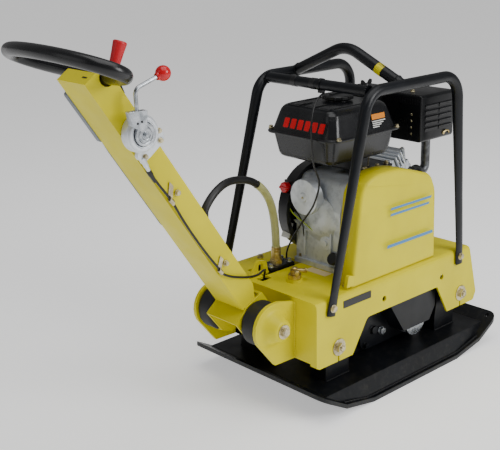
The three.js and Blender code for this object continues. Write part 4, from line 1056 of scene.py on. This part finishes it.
def make_fan_side():
    """The cooling fan's housing with the recoil starter, its slotted dome, handle and rope."""
    refined("fan_shroud", HOUSING, 2.2)
    slots = []
    for k in range(20):
        a = k * math.pi / 10
        for r0, r1 in ((52, 64), (68, 80)):
            slot = block((r0, -2.4, -0.5), (r1, 2.4, 0.7))
            slots.append(
                placed(slot, aim(mm(STARTER_X, 138, STARTER_Z), (0, 1, 0)) @ Matrix.Rotation(a, 4, "Z")))
    finished("starter_slots", merged(slots), STEEL)
    hub = placed(
        merged([ring(0.2, 44, -12, -8, 1), disc(20, -9, -2, 1.5)]), mm(STARTER_X, 138, STARTER_Z), (0, 1, 0))
    finished("starter_hub", hub, RED, soften=0.6)
    bolts = [
        bolt(mm(STARTER_X + 114 * math.cos(a), 112, STARTER_Z + 114 * math.sin(a)), (0, 1, 0), 7, 10, 4.5)
        for a in [math.radians(d) for d in (25, 85, 145, 205, 265, 325)]]
    finished("starter_bolts", merged(bolts), ZINC, soften=0.3)
    # A plain plate and the switch's holder on the housing's rear edge.
    finished(
        "shroud_plate",
        placed(
            end_plate([(-15, -22), (15, -22), (15, 22), (-15, 22)], -1, 0.6, [2] * 4),
            aim(mm(-158.5, 92, 392), (0, 0, 1)) @ Matrix.Rotation(math.radians(-23), 4, "Y")),
        LABEL_WHITE)
    button = lathe([
        (0, 0.4), (11.5, 0.4), (11.5, 10), (14.5, 11), (15, 13), (14.2, 18.2), (12.5, 19.6), (0, 19.8),
    ], 32)
    bar = block((-13, -3.2, 18), (13, 3.2, 23))
    switch = placed(merged([button, bar]), mm(-152, 93, SWITCH_Z), (-1, 0, 0))
    finished("stop_button", switch, RED, stands_for=["engine_switch"], body="stop_switch", soften=0.7)
    holder = placed(block((-17, -17, -3), (17, 17, 0.3)), mm(-150, 93, SWITCH_Z), (-1, 0, 0))
    finished("switch_holder", holder, HOUSING, soften=1.5)
    handle = placed(
        lathe([(0, -9), (8.5, -9), (11.5, -4), (14, 1), (0, 2)], 28), mm(STARTER_X, 150, STARTER_Z),
        (0, 1, 0))
    bar = side_plate([(-100, 435), (4, 435), (4, 453), (-100, 453)], 150, 169.5, [8] * 4, 6)
    finished(
        "starter_handle", merged([handle, bar]), HOUSING, stands_for=["recoil_grip"], body="starter_grip",
        soften=4.0, segments=4)
    rope = finished(
        "starter_rope", tube([mm(STARTER_X, 124 + i * 3, STARTER_Z) for i in range(10)], 2.2, 12), CABLE,
        body=None)
    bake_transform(rope)


def make_leads():
    """The stop switch's lead and the engine's earth lead, from the housing down to the crankcase."""
    runs = [
        (
            "switch_lead", CABLE,
            [
                mm(-146, 80, 500), mm(-158, 78, 484), mm(-160, 66, 462), mm(-152, 52, 440),
                mm(-146, 44, 414), mm(-147, 40, 390), mm(-143, 38, 372)],
            0.0030),
        (
            "earth_lead", EARTH_LEAD,
            [
                mm(-146, 86, 482), mm(-160, 80, 462), mm(-164, 62, 446), mm(-158, 38, 430),
                mm(-150, 12, 412), mm(-144, -14, 396), mm(-141, -32, 386)],
            0.0034)]
    for name, material, knots, diameter in runs:
        line = smooth_line(knots, 5)
        lead = finished(name, tube(line, diameter / 2 / MM, 10), material)


make_crankcase()
make_head()
make_tank()
make_cap()
make_muffler()
make_cleaner()
make_carburettor()
make_fan_side()
make_leads()


# ---------------------------------------------------------------- hose fittings, clips and tap
def make_hose_ends():
    x, y, z = HOSE["x"], HOSE["y"], HOSE["z"]
    housing = block((x - 46, y - 26, 269.5), (x + 46, y + 26, 312))
    finished("fitting_block", housing, BLACK, stands_for=["hose_fitting"], soften=2.0)
    parts = [
        hexagon(32, -27, -15, 0.2), ring(0.2, 15, -16, -12), hexagon(25, -13, -4),
        ring(0.2, 13, -5, 22, 1.0, 28), ring(0.2, 13.6, 3, 6, 0.8, 28), ring(0.2, 13.6, 12, 15, 0.8, 28)]
    finished("hose_adaptor", placed(merged(parts), Matrix.Translation(mm(x, y, z))), BRASS, soften=0.5)
    bolts = [bolt(mm(x + dx, y + dy, 312), (0, 0, 1), 8, 12, 6.5) for dx in (-34, 34) for dy in (-15, 15)]
    finished("fitting_bolts", merged(bolts), STEEL, soften=0.3)
    tip, inside = at(HOSE["along"], 12, BEAM_DEEP + 16), at(HOSE["along"] - 14, 12, BEAM_DEEP - 3)
    upper = placed(
        merged([ring(0.2, 12.6, -4, 16, 0.8, 28), hexagon(24, 13, 22), ring(0.2, 17, 21, 25, 0.8, 28)]), tip,
        inside - tip)
    finished("hose_upper_fitting", upper, ZINC, body="handle", soften=0.4)


def make_clips():
    for name, along in (("upper", 394), ("lower", 147)):
        y = -BEAM_HALF
        way = at(1, 0, 0) - at(0, 0, 0)
        across = at(0, 0, 1) - at(0, 0, 0)
        turn = Matrix((
            across.normalized().to_4d(), Vector((0, -1, 0, 0)), way.normalized().to_4d(),
            (0, 0, 0, 1))).transposed()
        turn.col[3] = (0, 0, 0, 1)
        frame_here = Matrix.Translation(at(along, y - 7, 8)) @ turn
        loop = ring(4.4, 6.2, -4.5, 4.5, 0.4, 28)
        strap = flat_plate([(3, -6.6), (32, -6.6), (32, -4.9), (3, -4.9)], -4.5, 4.5)
        clip = placed(merged([loop, strap]), frame_here)
        screw = bolt(at(along, y - 2.2, 33), (0, -1, 0), 7.5, 11, 5)
        finished(
            f"clip_{name}", merged([clip, screw]), ZINC, stands_for=[f"cable_clip_{name}"], body="handle",
            soften=0.4)


def make_tap():
    x, y, z = -262, -38, 311.8
    centre = Matrix.Translation(mm(x, y, z))
    body = placed(
        merged([
            hexagon(32, 0, 12), ring(0.2, 13, 11, 16), hexagon(22, 15, 24, 0.4),
            lathe([(0, 23), (8, 23), (8, 29), (6, 31), (0, 31)], 24)]),
        centre)
    spouts = [
        tube([mm(x, y, z + 21), mm(x + 12, y - 8.5, z + 21), mm(x + 27, y - 19, z + 18)], 5.4, 16),
        tube([mm(x, y, z + 22), mm(x - 6, y - 11, z + 22.5), mm(x - 13, y - 23, z + 19)], 5.0, 16),
        placed(disc(6.2, 0, 5, 1), mm(x + 22, y - 15.5, z + 20.6), (27, -19, 0)),
        placed(disc(6.0, 0, 5, 1), mm(x - 11, y - 19, z + 22.2), (-13, -23, 0))]
    finished("tap", merged([body, *spouts]), BRASS, stands_for=["drain_tap"], body="tap", soften=0.4)


make_hose_ends()
make_clips()
make_tap()


# ---------------------------------------------------------------- handle
def make_beam():
    refined("handle_tube", YELLOW, 1.6, body="handle")
    refined("pump_cover", GREY, 2.0, body="handle")
    screws = [
        placed(disc(4, 0, 2.6, 0.8, 16), at(a, BEAM_HALF + 16, d), (0, 1, 0))
        for a in (572, 692)
        for d in (6, 40)]
    finished("pump_cover_screws", merged(screws), ZINC, body="handle")
    # A thin black patch on the beam's upper end face stands in for a slot opening: painted shade.
    slot = [
        plate([
            at(BEAM_LENGTH, y0, 17), at(BEAM_LENGTH, y1, 17), at(BEAM_LENGTH, y1, 21),
            at(BEAM_LENGTH, y0, 21),
        ], at(1, 0, 0) - at(0, 0, 0), 400)
        for y0, y1 in ((-38, -22),)]
    finished("beam_slot_painted_shade", merged(slot), CABLE, body="handle")
    pipe = tube(
        bent_line([
            at(566, BEAM_HALF + 3, 3), at(530, BEAM_HALF + 3, 1), at(290, BEAM_HALF + 3, 1),
            at(262, BEAM_HALF - 4, 6),
        ], 12, 6),
        1.6, 12)
    finished("pump_pipe", pipe, GREY, body="handle")
    seams = []
    for side in (RIGHT, LEFT):
        seams.append(weld([mm(-452, side * 55, 288), mm(-402, side * 55, 313)], 2.6, 4.4))
        seams.append(weld([mm(-446, side * 57.2, 196), mm(-406, side * 57.2, 184)], 2.4, 4.4))
    finished("yoke_seams", merged(seams), YELLOW, body="handle")


def make_buffers():
    """Thick rubber rings that the ears squeeze against the yoke."""
    for side_name, side in (("right", RIGHT), ("left", LEFT)):
        low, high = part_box(f"handle_buffer_{side_name}")
        inner = min(abs(low[1]), abs(high[1])) / MM
        outer = max(abs(low[1]), abs(high[1])) / MM
        length = outer - inner
        shape = lathe([
            (12, 0), (50, 0), (55, 1.5), (57.6, 6), (58, 12), (57.2, length / 2), (58, length - 12),
            (57.6, length - 6), (55, length - 1.5), (50, length), (12, length), (12, 0),
        ], 56)
        finished(
            f"buffer_{side_name}", placed(shape, mm(PIVOT_X, side * inner, PIVOT_Z), (0, side, 0)), RUBBER,
            stands_for=[f"handle_buffer_{side_name}"], body="handle", smooth=50)


def make_loop():
    """The operator's loop in dipped vinyl, closed by the saddle that bolts it to the beam."""
    x, z, half_width, half_depth, tilt = -888, 941, 187, 76, math.radians(25)
    open_angle = math.asin(44 / half_width)
    knots = []
    for i in range(23):
        t = open_angle + i / 22 * (2 * math.pi - 2 * open_angle)
        fore = half_depth * math.cos(t)
        knots.append(mm(x + fore * math.cos(tilt), half_width * math.sin(t), z - fore * math.sin(tilt)))
    finished(
        "loop", tube(smooth_line(knots, 12), 15.5, 32), DIPPED, stands_for=["grip_loop"], body="handle",
        smooth=60)
    refined("loop_bracket", BLACK, 1.8, body="handle")
    heads = [bolt(at(712, side * 26, 78.5), DEEP_WAY, 8, 12, 6) for side in (RIGHT, LEFT)]
    finished("saddle_bolts", merged(heads), ZINC, body="handle", soften=0.3)


def make_throttle():
    """The throttle's friction housing with its stepped cover, clamp, lever and ball."""
    along, deep = 578, 36
    y = -BEAM_HALF - 0.3
    x, z = on_handle(along, deep)
    centre = aim(mm(x, y, z), (0, -1, 0))
    steps = lathe([
        (0, 0), (42, 0), (42, 18), (41, 21), (38.5, 22), (38.5, 25), (37, 27), (33.5, 28), (31, 28),
        (29.5, 26.5), (27.5, 26.5), (27, 16), (0, 16),
    ], 56)
    foot = plate(
        [
            at(a, y, d)
            for a, d in (
                (along - 59, 6), (along - 61, 24), (along - 59, 76), (along - 33, 88), (along - 11, 60),
                (along - 11, 20), (along - 41, -4))],
        (0, -1, 0), 12, [8, 2, 10, 12, 0, 0, 8])
    nose = placed(
        lathe([(0, 0), (8, 0), (8, 10), (6, 14), (6, 24), (4.6, 27), (4.6, 37), (0, 37)], 24),
        at(along - 47, y - 8, 8), at(along - 84, y - 8, 4) - at(along - 47, y - 8, 8))
    finished(
        "throttle_body", merged([placed(steps, centre), foot, nose]), DIE_CAST,
        stands_for=["throttle_housing"], body="handle", soften=1.2)
    screws = [bolt(at(along - 49, y - 12, d), (0, -1, 0), 6.5, 9, 4.5) for d in (14, 66)]
    screws.append(bolt(at(along - 29, y - 12, 76), (0, -1, 0), 6.5, 9, 4.5))
    finished("throttle_screws", merged(screws), ZINC, body="handle", soften=0.25)
    ferrule = placed(
        lathe([(0, 0), (5.6, 0), (6.2, 3), (6.2, 12), (5, 16), (4.2, 30), (3.4, 34), (0, 34)], 20),
        at(along - 83, y - 7, 3.6), at(along - 121, y - 7, 2) - at(along - 83, y - 7, 3.6))
    finished("throttle_ferrule", ferrule, CABLE, body="handle", soften=0.3)
    face = -BEAM_HALF - 28
    cover = lathe([
        (0, -11), (8, -11), (26, -10.6), (26, 0), (26, 3), (24.6, 4.2), (20, 4.4), (18.6, 3.2), (17, 3.2),
        (16, 5), (12, 5.6), (10.5, 4.6), (8.5, 4.6), (0, 4.6),
    ], 48)
    cover = placed(cover, mm(x, face, z), (0, -1, 0))
    hub_bolt = bolt(mm(x, face - 4.4, z), (0, -1, 0), 6.8, 9, 3.4)
    clamp = side_plate([
        (x - 43, z + 25), (x - 16, z + 8), (x - 6, z + 14), (x - 3, z + 55), (x - 50, z + 57),
    ], face - 19, face - 3.5, [2] * 5)
    grub = [
        placed(disc(2.6, 0, 0.6, 0.2, 16), mm(x - 30 + i * 11, face - 19.2, z + 30 + i * 2.5), (0, -1, 0))
        for i in (0, 1)]
    arm = tube(
        bent_line([
            mm(x - 26, face - 11, z + 44), mm(x - 25, -90, z + 64), mm(x - 26, -90, z + 101),
            mm(x + 37.6, -90, z + 121.3),
        ], 16, 8),
        4.5, 20)
    finished(
        "throttle_arm", merged([cover, clamp, arm]), STEEL, stands_for=["throttle_lever"], body="throttle",
        soften=0.8)
    finished("throttle_hub_bolt", hub_bolt, STEEL, body="throttle", soften=0.25)
    finished("throttle_grub_screws", merged(grub), CABLE, body="throttle")
    ball_place, ball_way = mm(x + 49, -90, z + 125), (66, 0, 21)
    ball = bmesh.new()
    bmesh.ops.create_uvsphere(
        ball, u_segments=40, v_segments=24, radius=17 * MM, matrix=aim(ball_place, ball_way))
    collar = placed(
        lathe([(0, -19), (7.5, -19), (8.6, -16), (9.5, -13), (0, -12)], 28), ball_place, ball_way)
    finished(
        "throttle_knob", merged([ball, collar]), RED, stands_for=["throttle_ball"], body="throttle",
        smooth=50)


def make_travel():
    foot_x, foot_z = on_handle(640, 32)
    line = smooth_line([
        mm(foot_x, 0, foot_z), mm(foot_x + 12, 0, foot_z + 40), mm(-770, 0, 900), mm(-762, 0, 932),
    ], 10)
    shaft = merged([tube(line, 5.5, 20), placed(disc(11, -20, 20, 1.5), mm(foot_x, 0, foot_z), (0, 1, 0))])
    finished("travel_shaft", shaft, ZINC, stands_for=["travel_lever"], body="travel")
    low, high = mm(-766, 0, 922), mm(-746, 0, 972)
    length = (high - low).length / MM
    grip = lathe([
        (0, 0), (10.8, 0), (11.8, 1.2), (12.2, 8), (12.8, 18), (13.6, 30), (14.6, 40), (15.4, length - 6),
        (15.6, length - 3), (14.2, length - 0.6), (12.5, length), (0, length),
    ], 40)
    grip = placed(grip, low, high - low)
    finished("travel_handle", grip, RED_RUBBER, stands_for=["travel_grip"], body="travel", smooth=40)


DEEP_WAY = Vector((DEEP[0], 0, DEEP[1]))
make_beam()
make_buffers()
make_loop()
make_throttle()
make_travel()


# ---------------------------------------------------------------- finishes of the model's own pieces
for part in frame["record"]["subparts"]:
    shown = frame["nodes"][part["node"]]
    shown.data.materials.clear()
    shown.data.materials.append(SLOT_FINISHES[part["material_slot"]][0])
